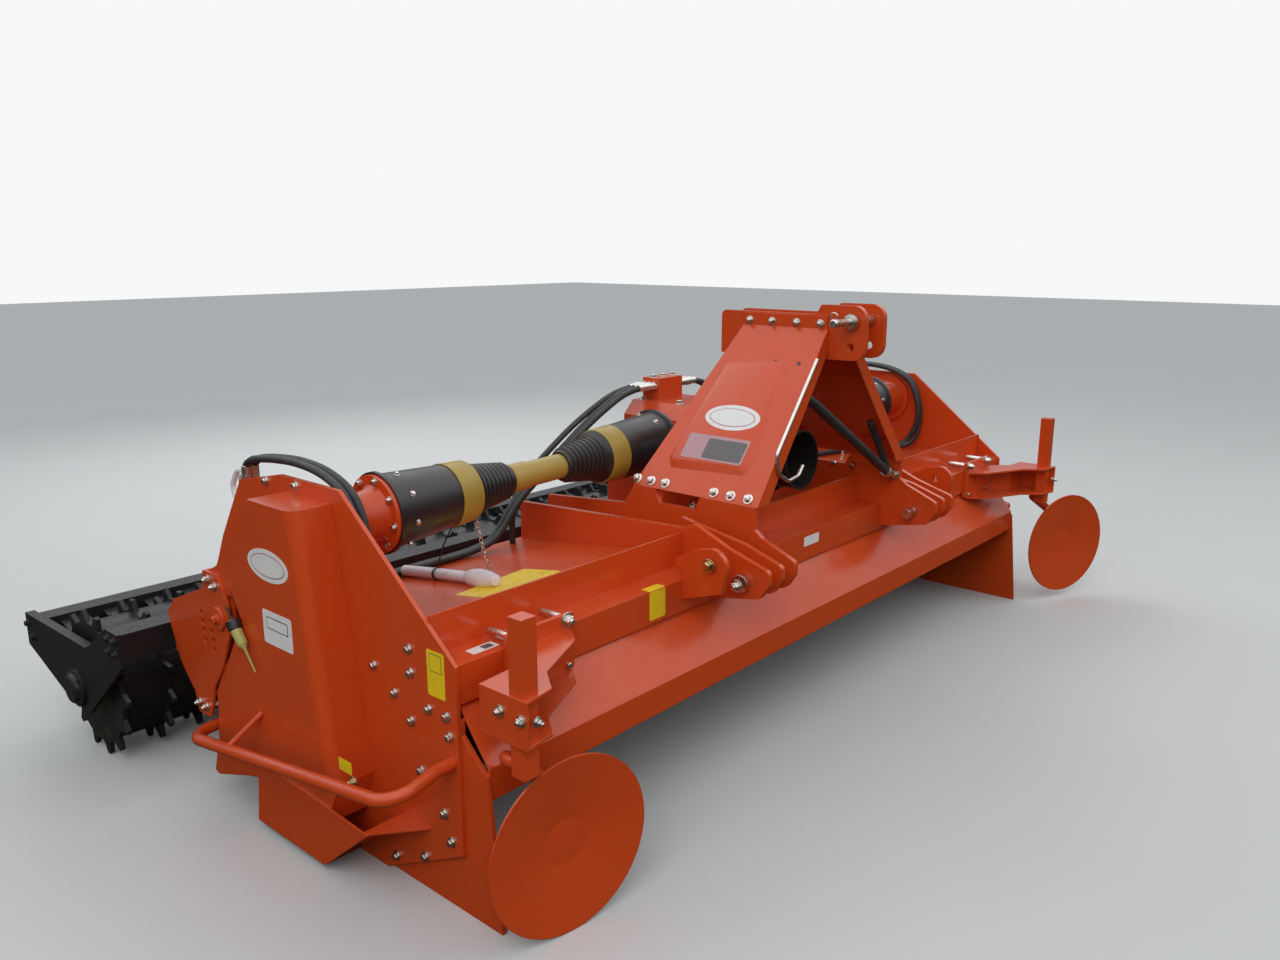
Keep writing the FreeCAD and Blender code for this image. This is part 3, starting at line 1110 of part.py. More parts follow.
def rear_board():
    """The levelling board hinged at the hood's rear edge."""
    inner = float(S.half_width - S.plate) - 8
    rake = math.radians(S.board_rake)
    top = V(0, float(S.hood_rear) + 4, float(S.hood_rear_low) - 26)
    length = float(S.board_length)
    bottom = V(0, top.y + length * math.sin(rake), top.z - length * math.cos(rake))
    normal = V(0, math.cos(rake), math.sin(rake)) * float(S.sheet)
    profile = Part.Face(Part.makePolygon([top, bottom, bottom + normal, top + normal, top]))
    board = profile.extrude(V(inner * 2, 0, 0))
    board.translate(V(-inner, 0, 0))
    pivot = float(S.half_width - S.plate - S.seat_gap)
    tube = Part.makeCylinder(16, pivot * 2, V(-pivot, top.y, top.z), X_AXIS)
    finish(shape_object("RearBoard", board.fuse(tube)), "rear_board")


def hoses():
    """The valve block on the gearbox and the hoses from it to the blocks at the end plates."""
    block_half = Size(70, "70")
    block = plate("ValveBlock", "YZ", -block_half, block_half * 2, [
        (790, S.gearbox_top), (868, S.gearbox_top), (868, S.gearbox_top + 80), (790, S.gearbox_top + 80)])
    finish(block, "valve_block")
    level = float(S.gearbox_top) + 52
    lift = float(S.hose_radius) + float(S.seat_gap) + 2
    port_x = float(S.half_width) - float(S.plate)
    port_y, port_z = float(S.port_y), float(S.port_z) + float(S.seat_gap)
    arch = float(S.plate_high) + 39
    right = []
    for number in range(2):
        y = 808 + 22 * number
        x = port_x - 18 - 24 * number
        right.append(swept([
            (-70, y, level), (-200, y, level), (-430, y + 25, 985), (-740, y + 70, 740),
            (-900, y + 100, float(deck_at(y + 100)) + lift), (-1300, y + 100, float(deck_at(y + 100)) + lift),
            (-x + 90, 520 + 24 * number, float(deck_at(520)) + lift), (-x, 520, 800), (-x, 555, arch - 47),
            (-x, 760, arch), (-x, port_y - 22, arch - 30), (-x, port_y, port_z + 26), (-x, port_y, port_z)],
            90, S.hose_radius))
    third = swept([
        (-70, 852, level), (-200, 852, level), (-450, 880, 975), (-650, 915, 830), (-700, 925, 760),
        (-700, 925, float(deck_at(925 - float(S.hose_radius))) + float(S.seat_gap))], 60, S.hose_radius)
    right_hoses = shape_object("HosesRight", Part.makeCompound(right + [third]))
    finish(right_hoses, "hoses_right")
    left_hoses = shape_object("HosesLeft", Part.makeCompound(
        [hose.mirror(V(0, 0, 0), X_AXIS) for hose in right]))
    finish(left_hoses, "hoses_left")


def hook_rod():
    """The bright rod down the front of the right-hand leg, with a hook for the input shaft."""
    points = []
    for x, height in ((-152, 1262), (-386, 985), (-374, 925), (-322, 893), (-262, 902), (-236, 930)):
        front = leg_line(S.foot_z + (height - float(S.foot_z)))[1]
        points.append((x, float(front) - float(S.hook_radius) - float(S.seat_gap), height))
    finish(shape_object("HookRod", swept(points, 26, S.hook_radius)), "hook_rod")


def settle():
    """Moves the whole machine so that its box stands centred on the origin."""
    box = FreeCAD.BoundBox()
    for piece in PARTS:
        box.add(piece.Shape.BoundBox)
    shift = FreeCAD.Placement(V(-box.Center.x, -box.Center.y, -box.ZMin), FreeCAD.Rotation())
    for piece in PARTS:
        if piece.TypeId == "Part::Mirroring" and piece.Source in PARTS:
            piece.Base = shift.Base
        else:
            piece.Placement = shift.multiply(piece.Placement)
    return shift.Base


def export():
    """Checks each sub-part and writes it to its own file."""
    os.makedirs("parts", exist_ok=True)
    for item in doc.Objects:
        if "Invalid" in item.State or "Error" in item.State:
            raise RuntimeError(f"{item.Label} failed: {item.State}")
    for piece in PARTS:
        shape = piece.Shape
        if shape.isNull() or not shape.isValid() or not shape.Solids:
            raise RuntimeError(f"{piece.Label} has no valid solid")
        Part.export([piece], os.path.join("parts", piece.Label + ".step"))


for build in (end_plates, hood, gear_cases, side_drives, gearbox, hitch, tower, discs, bows, rotor,
              roller, roller_frame, arm_housings, cylinders, rear_board, hoses, hook_rod):
    build()
doc.recompute()
moved = settle()
doc.recompute()
export()
print(f"machine moved by {moved.x:.2f}, {moved.y:.2f}, {moved.z:.2f} mm; {len(PARTS)} sub-parts")
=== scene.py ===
"""Looks of the rotavator: materials, small fittings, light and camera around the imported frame.

Lengths and the fittings' places are millimetres in the axes of the part's source (X along the working
width, Y rearwards, Z up), and metres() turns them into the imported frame.
"""
import json
import math
import random

import bmesh
import bpy
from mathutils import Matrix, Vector


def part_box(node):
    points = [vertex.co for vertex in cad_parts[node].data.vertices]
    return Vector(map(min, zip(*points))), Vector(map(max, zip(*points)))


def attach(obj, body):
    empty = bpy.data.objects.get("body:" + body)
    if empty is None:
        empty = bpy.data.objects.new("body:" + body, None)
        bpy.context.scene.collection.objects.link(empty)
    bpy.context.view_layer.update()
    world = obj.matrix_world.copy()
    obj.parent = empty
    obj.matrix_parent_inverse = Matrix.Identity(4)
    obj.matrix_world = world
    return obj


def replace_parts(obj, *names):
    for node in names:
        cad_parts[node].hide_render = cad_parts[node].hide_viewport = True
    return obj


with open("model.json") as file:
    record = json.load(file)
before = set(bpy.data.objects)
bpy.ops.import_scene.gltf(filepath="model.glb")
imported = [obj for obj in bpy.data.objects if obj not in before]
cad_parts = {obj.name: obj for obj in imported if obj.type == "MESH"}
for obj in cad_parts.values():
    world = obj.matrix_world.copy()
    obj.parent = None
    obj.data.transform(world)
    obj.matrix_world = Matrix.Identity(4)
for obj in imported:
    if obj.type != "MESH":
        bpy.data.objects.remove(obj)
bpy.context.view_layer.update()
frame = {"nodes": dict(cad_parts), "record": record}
NODES = frame["nodes"]
RANDOM = random.Random(7)

# Driving sizes, as in the part's source.
HALF_WIDTH = 1600
END_PLATE = 12
CASE_DEPTH = 120
CASE_X = HALF_WIDTH + CASE_DEPTH
BEAM_FRONT, BEAM_SIDE, BEAM_HIGH = 130, 100, 657
CLAMP_FRONT = BEAM_FRONT - 14
CLAMP_X = HALF_WIDTH - 270
RAIL_Y, RAIL_HIGH, SHEET = 230, 757, 6
DECK_FRONT, DECK_REAR, DECK_END = 695, 595, 985
ROTOR_Y, ROTOR_Z, ROTOR_FLANGES, TINES_EACH_WAY = 690, 315, 12, 3
TINE_REACH, FLANGE_THICK, BEARING_BOLTS = 95, 12, 95
INPUT_X, INPUT_Y, INPUT_Z, DRIVE_Z = -1080, 700, 887, 922
GEARBOX_HALF, GEARBOX_FRONT, GEARBOX_REAR, GEARBOX_TOP = 165, 520, 880, 1050
VALVE_HALF, HOSE_LEVEL, HOSE_ROWS = 70, GEARBOX_TOP + 52, (808, 830, 852)
GUARD_RADIUS, GUARD_BAND, GUARD_TUBE = 106, 80, 36
HITCH_HALF, HITCH_GAP, HITCH_PLATE, HITCH_Z = 510, 50, 18, 645
FOOT_Z, LEG_TOP, LEG_FOOT_X, LEG_TOP_X = 835, 1352, 485, 78
PRESSING_TOP, PRESSING_DEPTH = 540, 19
TOP_PIN_Y, TOP_PIN_Z = -18, 1380
POST_X = CLAMP_X + 248
PIVOT_Y, PIVOT_Z = 1000, 600
FRAME_HALF, ROLLER_Y, ROLLER_Z = 1880, 1690, 240
FRONT_TUBE_Y, FRONT_TUBE_Z = 1335, 418
REAR_TUBE_Y, REAR_TUBE_Z, REAR_TUBE = 2020, 300, 80
PORT_Y, PORT_Z, HOSE = 1079, 960, 11
ROLLER_HALF, ROLLER_RINGS, RING_THICK = 1830, 27, 14
HOOD_REAR, HOOD_REAR_LOW, BOARD_RAKE = 1115, 520, 16

ORIGIN = Vector((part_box("end_plate_right")[0][0] + HALF_WIDTH / 1000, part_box("wear_knives")[0][1], 0))
SIDES = (("right", -1), ("left", 1))
REARWARD, UP = Vector((0, 1, 0)), Vector((0, 0, 1))
SHARP_ANGLE = math.radians(33)
EDGE_METRES = 0.003


def metres(x, y, z):
    """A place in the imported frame, from millimetres in the machine's own axes."""
    return ORIGIN + Vector((x, y, z)) / 1000


def deck_at(y):
    """The deck's height at a distance from the front."""
    start = BEAM_FRONT + BEAM_SIDE + SHEET
    return DECK_FRONT + (DECK_REAR - DECK_FRONT) * (y - start) / (DECK_END - start)


def spokes(count, across=REARWARD, third=UP, turn=None):
    """Directions evenly spaced about an axis, in the plane of two others, from half a step round."""
    turn = math.pi / count if turn is None else turn
    for number in range(count):
        angle = turn + math.tau * number / count
        yield across * math.cos(angle) + third * math.sin(angle)


# Camera and light

def set_up(name, data, place, way):
    """Puts a camera or a lamp at a place, looking along a direction."""
    item = bpy.data.objects.new(name, data)
    bpy.context.scene.collection.objects.link(item)
    item.location = place
    item.rotation_mode = "QUATERNION"
    item.rotation_quaternion = way.to_track_quat("-Z", "Y")
    return item


def make_camera():
    """The photograph's viewpoint: eye height, off the machine's right-hand front corner."""
    focal_px, image_width = 1020, 1280
    heading, pitch = math.radians(41.0), math.radians(12.97)
    eye = (-2990, -1655, 1618)
    data = bpy.data.cameras.new("Camera")
    data.sensor_width = 36
    data.lens = data.sensor_width * focal_px / image_width
    level = math.cos(pitch)
    forward = Vector((level * math.cos(heading), level * math.sin(heading), -math.sin(pitch)))
    bpy.context.scene.camera = set_up("Camera", data, metres(*eye), forward)


def add_node(tree, kind, **values):
    """A shader node with some inputs set; an underscore stands for the space in an input's name."""
    node = tree.nodes.new("ShaderNode" + kind)
    for name, value in values.items():
        node.inputs[name.replace("_", " ")].default_value = value
    return node


def mix_shaders(tree, share, first, second):
    """The mix of two shaders: all of the first where the share is 0, all of the second where it is 1."""
    mix = add_node(tree, "MixShader")
    for source, target in zip((share, first, second), mix.inputs):
        tree.links.new(source, target)
    return mix.outputs[0]


def make_sky():
    """A bright overcast sky. Mirrored in the paint, it is bright overhead and dim near the horizon."""
    world = bpy.data.worlds.new("Sky")
    bpy.context.scene.world = world
    world.use_nodes = True
    tree = world.node_tree
    tree.nodes.clear()
    seen = add_node(tree, "Background", Color=(0.93, 0.94, 0.95, 1), Strength=1.0)
    lit = add_node(tree, "Background", Color=(0.95, 0.98, 1.0, 1), Strength=0.6)
    mirrored = add_node(tree, "Background", Color=(0.95, 0.97, 1.0, 1))
    split = add_node(tree, "SeparateXYZ")
    tree.links.new(add_node(tree, "TexCoord").outputs["Generated"], split.inputs[0])
    height = add_node(tree, "MapRange", From_Min=0.12, From_Max=0.55, To_Min=0.15, To_Max=1.6)
    tree.links.new(split.outputs["Z"], height.inputs["Value"])
    tree.links.new(height.outputs[0], mirrored.inputs["Strength"])
    rays = add_node(tree, "LightPath").outputs
    unseen = mix_shaders(tree, rays["Is Glossy Ray"], lit.outputs[0], mirrored.outputs[0])
    sky = mix_shaders(tree, rays["Is Camera Ray"], unseen, seen.outputs[0])
    tree.links.new(sky, add_node(tree, "OutputWorld").inputs["Surface"])


def make_light():
    """The sky, a soft key from the camera's left, a fill from its right and a lamp from behind."""
    bpy.context.scene.view_settings.view_transform = "Standard"
    make_sky()
    for name, place, energy, size in (
            ("Key", (-5200, -2600, 5200), 170, 4.5), ("Fill", (3600, -4200, 3800), 70, 4.0),
            ("Back", (1500, 5200, 4200), 110, 4.5)):
        data = bpy.data.lights.new(name, "AREA")
        data.energy = energy
        data.size = size
        place = metres(*place)
        set_up(name, data, place, metres(0, 500, 500) - place).visible_glossy = False


# Materials

class Finish:
    """A procedural material: a Principled shader with colour, roughness and bump from noise."""

    def __init__(self, name, colour, roughness, metallic=0.0, coat=0.0, specular=0.5):
        self.material = bpy.data.materials.new(name)
        self.material.use_nodes = True
        self.tree = self.material.node_tree
        self.link = self.tree.links.new
        self.shader = self.tree.nodes["Principled BSDF"]
        for socket, value in (("Base Color", (*colour, 1)), ("Roughness", roughness),
                              ("Metallic", metallic), ("Coat Weight", coat), ("Coat Roughness", 0.1),
                              ("Specular IOR Level", specular)):
            self.shader.inputs[socket].default_value = value
        self.place = self.add("TexCoord").outputs["Object"]
        self.colour = None
        self.edges = None

    def add(self, kind, **values):
        return add_node(self.tree, kind, **values)

    def noise(self, scale, detail=3.0, stretch=None):
        """A noise pattern's value, in cycles per metre, stretched along an axis if given."""
        place = self.place
        if stretch:
            mapping = self.add("Mapping", Scale=stretch)
            self.link(place, mapping.inputs["Vector"])
            place = mapping.outputs[0]
        pattern = self.add("TexNoise", Scale=scale, Detail=detail)
        self.link(place, pattern.inputs["Vector"])
        return pattern.outputs["Fac"]

    def band(self, value, low, high, to_low=0.0, to_high=1.0):
        """The value moved from low..high to a new range, and held there."""
        node = self.add("MapRange", From_Min=low, From_Max=high, To_Min=to_low, To_Max=to_high)
        self.link(value, node.inputs["Value"])
        return node.outputs[0]

    def combine(self, operation, first, second):
        """A Math node on two values, of which the second may be a plain number."""
        node = self.add("Math")
        node.operation = operation
        self.link(first, node.inputs[0])
        if isinstance(second, float):
            node.inputs[1].default_value = second
        else:
            self.link(second, node.inputs[1])
        return node.outputs[0]

    def times(self, first, second):
        return self.combine("MULTIPLY", first, second)

    def tint(self, share, colour):
        """Mixes a colour in by a share that varies over the surface."""
        mix = self.add("Mix")
        mix.data_type = "RGBA"
        if self.colour is None:
            mix.inputs["A"].default_value = self.shader.inputs["Base Color"].default_value
        else:
            self.link(self.colour, mix.inputs["A"])
        mix.inputs["B"].default_value = (*colour, 1)
        self.link(share, mix.inputs["Factor"])
        self.colour = mix.outputs["Result"]
        self.link(self.colour, self.shader.inputs["Base Color"])

    def stain(self, value, low, high, most, colour):
        """Mixes a colour in, from none to the most as a value goes from low to high."""
        self.tint(self.band(value, low, high, 0.0, most), colour)

    def dust(self, value, low, high, most, colour, least=0.0):
        """Mixes a colour in on faces that look up, in patches."""
        normal = self.add("NewGeometry").outputs["Normal"]
        facing_up = self.band(self.axis("Z", normal), 0.2, 0.95)
        self.tint(self.times(facing_up, self.band(value, low, high, least, most)), colour)

    def splash(self, value, low, top, most, colour):
        """Mixes a colour in, in patches, from the floor up to a height in metres."""
        low_down = self.band(self.axis("Z", self.place), 0.0, top, 1.0, 0.0)
        self.stain(self.times(low_down, self.band(value, low, 0.7)), 0.0, 1.0, most, colour)

    def soft_edges(self, radius=EDGE_METRES):
        """Rounds the shading at a sheet's edges, and gives the share by which a point is at one."""
        rounded = self.add("Bevel", Radius=radius)
        rounded.samples = 4
        self.edges = rounded.outputs[0]
        agree = self.add("VectorMath")
        agree.operation = "DOT_PRODUCT"
        self.link(self.edges, agree.inputs[0])
        self.link(self.add("NewGeometry").outputs["Normal"], agree.inputs[1])
        return self.band(agree.outputs["Value"], 0.98, 0.8)

    def finish(self, gloss, low, high, relief, strength, distance):
        """Roughness from low to high by one pattern, and relief by another on top of any soft edges."""
        self.link(self.band(gloss, 0.3, 0.7, low, high), self.shader.inputs["Roughness"])
        bump = self.add("Bump", Strength=strength, Distance=distance)
        self.link(relief, bump.inputs["Height"])
        if self.edges is not None:
            self.link(self.edges, bump.inputs["Normal"])
        self.link(bump.outputs[0], self.shader.inputs["Normal"])
        return self.material

    def axis(self, name, vector):
        """One coordinate of a vector."""
        split = self.add("SeparateXYZ")
        self.link(vector, split.inputs[0])
        return split.outputs[name]


ORANGE = (0.62, 0.068, 0.011)


def orange_paint():
    """Gloss enamel with faint orange peel, painted highlights in patches along the edges, dust on level faces
    and splashes low down.
    """
    paint = Finish("orange_paint", ORANGE, 0.24, coat=0.22, specular=0.35)
    edge = paint.soft_edges()
    paint.stain(paint.noise(2.2), 0.35, 0.75, 0.16, (0.5, 0.04, 0.008))
    # Painted highlight: a lighter orange in patches along the sheets' edges, where light catches them.
    edge_highlight_patches = paint.band(paint.noise(60.0, 5.0), 0.3, 0.7, 0.1, 0.5)
    paint.tint(paint.times(edge, edge_highlight_patches), (0.74, 0.17, 0.06))
    paint.dust(paint.noise(9.0, 6.0), 0.4, 0.8, 0.12, (0.5, 0.3, 0.17))
    paint.splash(paint.noise(30.0, 6.0), 0.54, 0.26, 0.3, (0.16, 0.1, 0.055))
    return paint.finish(paint.noise(5.0), 0.2, 0.3, paint.noise(300.0, 1.0), 0.03, 0.0002)


def wear_steel():
    """Forged and worn steel of the tines, with soil and light rust."""
    steel = Finish("wear_steel", (0.2, 0.17, 0.15), 0.55, metallic=0.65)
    fine = steel.noise(120.0, 5.0)
    edge = steel.soft_edges()
    steel.stain(steel.noise(9.0, 5.0), 0.42, 0.68, 0.7, (0.16, 0.075, 0.035))
    steel.stain(fine, 0.5, 0.72, 0.5, (0.08, 0.06, 0.045))
    steel.stain(edge, 0.0, 1.0, 0.6, (0.45, 0.43, 0.4))
    return steel.finish(fine, 0.4, 0.75, fine, 0.25, 0.0008)


def black_paint():
    """Black enamel of the roller and its frame, dulled by soil, with painted highlights in patches along its
    edges; the frame's two arms are orange.
    """
    paint = Finish("black_paint", (0.014, 0.014, 0.016), 0.42, specular=0.3)
    edge = paint.soft_edges()
    fine = paint.noise(70.0, 5.0)
    # Painted highlight: a lighter grey in patches along the edges, where light catches them.
    paint.tint(paint.times(edge, paint.band(fine, 0.35, 0.7)), (0.07, 0.06, 0.055))
    paint.dust(fine, 0.4, 0.75, 0.16, (0.1, 0.085, 0.065))
    paint.splash(paint.noise(18.0, 6.0), 0.48, 0.3, 0.5, (0.09, 0.07, 0.045))
    beam_front, arm_inside = metres(0, FRONT_TUBE_Y - 0.5, 0).y, (HALF_WIDTH - 8) / 1000
    ahead = paint.combine("LESS_THAN", paint.axis("Y", paint.place), beam_front)
    from_middle = paint.combine("SUBTRACT", paint.axis("X", paint.place), float(ORIGIN.x))
    outside = paint.combine("GREATER_THAN", paint.combine("ABSOLUTE", from_middle, 0.0), arm_inside)
    paint.tint(paint.times(ahead, outside), ORANGE)
    return paint.finish(fine, 0.3, 0.55, paint.noise(260.0), 0.06, 0.0004)


def black_plastic():
    """Moulded polyethylene of the guards, with a fine grain and a little haze."""
    plastic = Finish("black_plastic", (0.018, 0.015, 0.016), 0.36)
    plastic.dust(plastic.noise(20.0, 5.0), 0.3, 0.8, 0.18, (0.14, 0.11, 0.1), 0.02)
    return plastic.finish(plastic.noise(12.0), 0.26, 0.42, plastic.noise(240.0), 0.08, 0.0003)


def olive_plastic(name="olive_plastic", colour=(0.4, 0.28, 0.055)):
    """The yellow-olive plastic of the guards' tubes and bands, with drawing lines along it."""
    plastic = Finish(name, colour, 0.4)
    streak = plastic.noise(30.0, 4.0, stretch=(0.06, 1.0, 1.0))
    plastic.stain(streak, 0.4, 0.7, 0.35, tuple(part * 0.66 for part in colour))
    plastic.stain(plastic.noise(8.0, 4.0), 0.5, 0.75, 0.25, (0.16, 0.12, 0.06))
    return plastic.finish(streak, 0.32, 0.5, plastic.noise(200.0), 0.06, 0.0003)


def bright_steel(name="bright_steel", colour=(0.66, 0.64, 0.6), cloud_colour=(0.55, 0.47, 0.33)):
    """Zinc-plated steel, with faint yellow passivation and drawing marks."""
    steel = Finish(name, colour, 0.26, metallic=1.0)
    steel.soft_edges()
    steel.stain(steel.noise(40.0, 4.0), 0.42, 0.7, 0.45, cloud_colour)
    return steel.finish(steel.noise(150.0, 4.0), 0.18, 0.4, steel.noise(500.0, 2.0), 0.08, 0.0002)


def hose_rubber():
    """Braided rubber hose cover, with a weave and a dry bloom."""
    rubber = Finish("hose_rubber", (0.02, 0.02, 0.021), 0.5)
    rubber.soft_edges(0.008)
    wrap = rubber.add("TexWave", Scale=260.0, Distortion=1.5)
    rubber.link(rubber.place, wrap.inputs["Vector"])
    rubber.stain(rubber.noise(30.0, 4.0), 0.4, 0.75, 0.5, (0.055, 0.052, 0.05))
    return rubber.finish(rubber.noise(60.0, 4.0), 0.4, 0.62, wrap.outputs["Fac"], 0.15, 0.0004)


def sticker_film(name, colour, wear):
    """Printed vinyl film, a little faded and scuffed."""
    film = Finish(name, colour, 0.34, coat=0.15)
    film.stain(film.noise(45.0, 5.0), 0.5, 0.72, 0.4, wear)
    return film.finish(film.noise(20.0), 0.25, 0.5, film.noise(90.0), 0.08, 0.0003)


def floor_finish():
    """A plain pale studio floor, with the faintest mottling."""
    floor = Finish("pale_floor", (0.62, 0.63, 0.63), 0.8, specular=0.2)
    floor.stain(floor.noise(2.0, 4.0), 0.3, 0.8, 0.2, (0.57, 0.58, 0.58))
    # Light that the floor throws back is weak and warm, so the undersides stay deep.
    thrown_back = floor.add("BsdfDiffuse", Color=(0.075, 0.07, 0.05, 1))
    seen = floor.add("LightPath").outputs["Is Camera Ray"]
    surface = mix_shaders(floor.tree, seen, thrown_back.outputs[0], floor.shader.outputs[0])
    floor.link(surface, floor.tree.nodes["Material Output"].inputs["Surface"])
    return floor.material


FINISHES = {maker.__name__: maker() for maker in (
    orange_paint, wear_steel, black_paint, black_plastic, olive_plastic, bright_steel, hose_rubber)}
for maker, name, *colours in (
        (bright_steel, "gold_steel", (0.55, 0.42, 0.2), (0.4, 0.36, 0.3)),
        (sticker_film, "yellow_film", (0.88, 0.62, 0.012), (0.6, 0.42, 0.06)),
        (sticker_film, "white_film", (0.8, 0.79, 0.79), (0.62, 0.58, 0.56)),
        (sticker_film, "grey_film", (0.09, 0.08, 0.085), (0.2, 0.17, 0.17)),
        (sticker_film, "pink_film", (0.45, 0.25, 0.27), (0.5, 0.4, 0.4)),
        (sticker_film, "milky_sleeve", (0.72, 0.66, 0.7), (0.45, 0.36, 0.36)),
        (olive_plastic, "horn_plastic", (0.46, 0.42, 0.13)),
        (olive_plastic, "band_plastic", (0.36, 0.25, 0.035))):
    FINISHES[name] = maker(name, *colours)


def dress_frame():
    """Gives each CAD node the finish of its slot in the record."""
    for part in frame["record"]["subparts"]:
        node = NODES[part["node"]]
        node.data.materials.clear()
        node.data.materials.append(FINISHES[part["material_slot"]])


# Mesh tools

class Work:
    """The mesh of one piece, built in the machine's own millimetres."""

    def __init__(self):
        self.mesh = bmesh.new()

    def point(self, place):
        return self.mesh.verts.new(metres(*place))

    def revolve(self, profile, place, axis, steps=20, turn=0.0):
        """Turns (along, radius) pairs about an axis through a place."""
        along = Vector(axis).normalized()
        side = along.orthogonal().normalized()
        other = along.cross(side)
        rings = []
        for distance, radius in profile:
            centre = Vector(place) + along * distance
            if radius <= 0:
                rings.append([self.point(centre)])
            else:
                rings.append([self.point(centre + spoke * radius)
                              for spoke in spokes(steps, side, other, turn)])
        self.skin(rings, steps)

    def skin(self, rings, steps):
        """Joins each ring of vertices to the next; a ring may be a single one."""
        for lower, upper in zip(rings, rings[1:]):
            for step in range(steps):
                after = (step + 1) % steps
                corners = dict.fromkeys((lower[step % len(lower)], lower[after % len(lower)],
                                         upper[after % len(upper)], upper[step % len(upper)]))
                if len(corners) > 2:
                    self.mesh.faces.new(list(corners))

    def bolt(self, place, axis, across=24, washer=True, stud=0.0):
        """A hexagon head with a chamfer, on a washer, with the end of its thread if asked."""
        corner, height, thread, chamfer = across * 0.577, across * 0.6, across * 0.32, 0.82
        base = 0.0
        if washer:
            base, rim = across * 0.12, across * 0.82
            self.revolve([(0, 0), (0, rim), (base * 0.8, rim), (base, across * 0.76), (base, 0)], place,
                         axis, 18)
        top = base + height
        turn = RANDOM.uniform(0, math.tau)
        self.revolve([(base, corner), (base + height * chamfer, corner), (top, corner * chamfer),
                      (top + 0.5, 0)], place, axis, 6, turn)
        if stud:
            end = top + stud
            self.revolve([(top, thread), (end - 2, thread), (end, across * 0.25), (end, 0)], place, axis, 10)

    def slab(self, outline, offset):
        """A flat sheet between an outline and its copy moved by an offset."""
        near = [self.point(corner) for corner in outline]
        far = [self.point(Vector(corner) + Vector(offset)) for corner in outline]
        self.mesh.faces.new(near[::-1])
        self.mesh.faces.new(far)
        for index in range(len(near)):
            after = (index + 1) % len(near)
            self.mesh.faces.new((near[index], near[after], far[after], far[index]))
        return self

    def patch(self, centre, across, up, width, height, thick, oval=False):
        """A thin label lying on a face: a rounded rectangle or an oval, from its middle outwards."""
        across, up = Vector(across).normalized(), Vector(up).normalized()
        outline = []
        radius = min(width, height) * 0.08
        if oval:
            outline = [Vector(centre) + spoke for spoke in spokes(36, across * width / 2, up * height / 2, 0)]
        else:
            for number, (right, high) in enumerate(((1, 1), (-1, 1), (-1, -1), (1, -1))):
                middle = (Vector(centre) + across * right * (width / 2 - radius)
                          + up * high * (height / 2 - radius))
                for step in range(5):
                    angle = math.pi / 2 * (number + step / 4)
                    outline.append(middle + (across * math.cos(angle) + up * math.sin(angle)) * radius)
        return self.slab(outline, across.cross(up) * thick)

    def rod(self, points, radius, steps=10, bend=None, end_radius=None):
        """A round bar through points, its corners rounded by a bend radius, tapered if asked."""
        path = rounded_path([Vector(point) for point in points], bend or radius * 4)
        rings = []
        side = None
        for index, point in enumerate(path):
            before, after = path[max(index - 1, 0)], path[min(index + 1, len(path) - 1)]
            along = (after - before).normalized()
            side = along.orthogonal() if side is None else side - along * side.dot(along)
            side.normalize()
            other = along.cross(side)
            wide = radius
            if end_radius is not None:
                wide += (end_radius - radius) * index / (len(path) - 1)
            rings.append([self.point(point + spoke * wide) for spoke in spokes(steps, side, other, 0)])
        self.skin(rings, steps)
        self.mesh.faces.new(rings[0][::-1])
        self.mesh.faces.new(rings[-1])

    def piece(self, name, finish, slot=None, body="chassis", bevel=0.0):
        """Makes the object, smooth but for its sharp edges, and joins it to a body."""
        bmesh.ops.recalc_face_normals(self.mesh, faces=self.mesh.faces)
        for face in self.mesh.faces:
            face.smooth = True
        for edge in self.mesh.edges:
            edge.smooth = edge.calc_face_angle(0) < SHARP_ANGLE
        data = bpy.data.meshes.new(name)
        self.mesh.to_mesh(data)
        self.mesh.free()
        item = bpy.data.objects.new(name, data)
        bpy.context.scene.collection.objects.link(item)
        data.materials.append(FINISHES[finish])
        if bevel:
            edges = item.modifiers.new("Edges", "BEVEL")
            edges.width = bevel / 1000
            edges.segments = 2
            edges.limit_method = "ANGLE"
        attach(item, body)
        return item


def rounded_path(points, bend):
    """The points with each inner corner replaced by a short arc."""
    path = [points[0]]
    for before, corner, after in zip(points, points[1:], points[2:]):
        into, out = (corner - before).normalized(), (after - corner).normalized()
        half = into.angle(out) / 2
        reach = min(bend * math.tan(half), (corner - before).length * 0.45, (after - corner).length * 0.45)
        start, end = corner - into * reach, corner + out * reach
        for step in range(6):
            share = step / 5
            path.append(start.lerp(corner, share).lerp(corner.lerp(end, share), share))
    path.append(points[-1])
    return path


def port_x(number):
    """How far from the middle a hose enters its port block."""
    inset, pitch = 18, 24
    return HALF_WIDTH - END_PLATE - inset - pitch * number


# Fittings of the end plates and gear cases

PLATE_BOLTS = ((454, 573), (301, 658), (298, 596), (369, 521), (232, 520), (304, 466), (163, 521), (155, 472),
               (273, 342), (188, 256), (344, 175), (165, 188), (275, 103), (400, 52), (917, 985), (763, 995))


def end_plate_bolts():
    """Bolts in both end plates: of the wear knives, the hood and the lift cylinders outside, and of the
    rotor's bearings inside."""
    work = Work()
    for y, z in PLATE_BOLTS:
        for _, sign in SIDES:
            work.bolt((HALF_WIDTH * sign, y, z), (sign, 0, 0), 17)
    work.piece("end_plate_bolts", "bright_steel")
    inside = Work()
    for _, sign in SIDES:
        middle = Vector(((HALF_WIDTH - END_PLATE) * sign, ROTOR_Y, ROTOR_Z))
        for spoke in spokes(8):
            inside.bolt(middle + spoke * BEARING_BOLTS, (-sign, 0, 0), 19)
    inside.piece("rotor_bearing_bolts", "bright_steel")


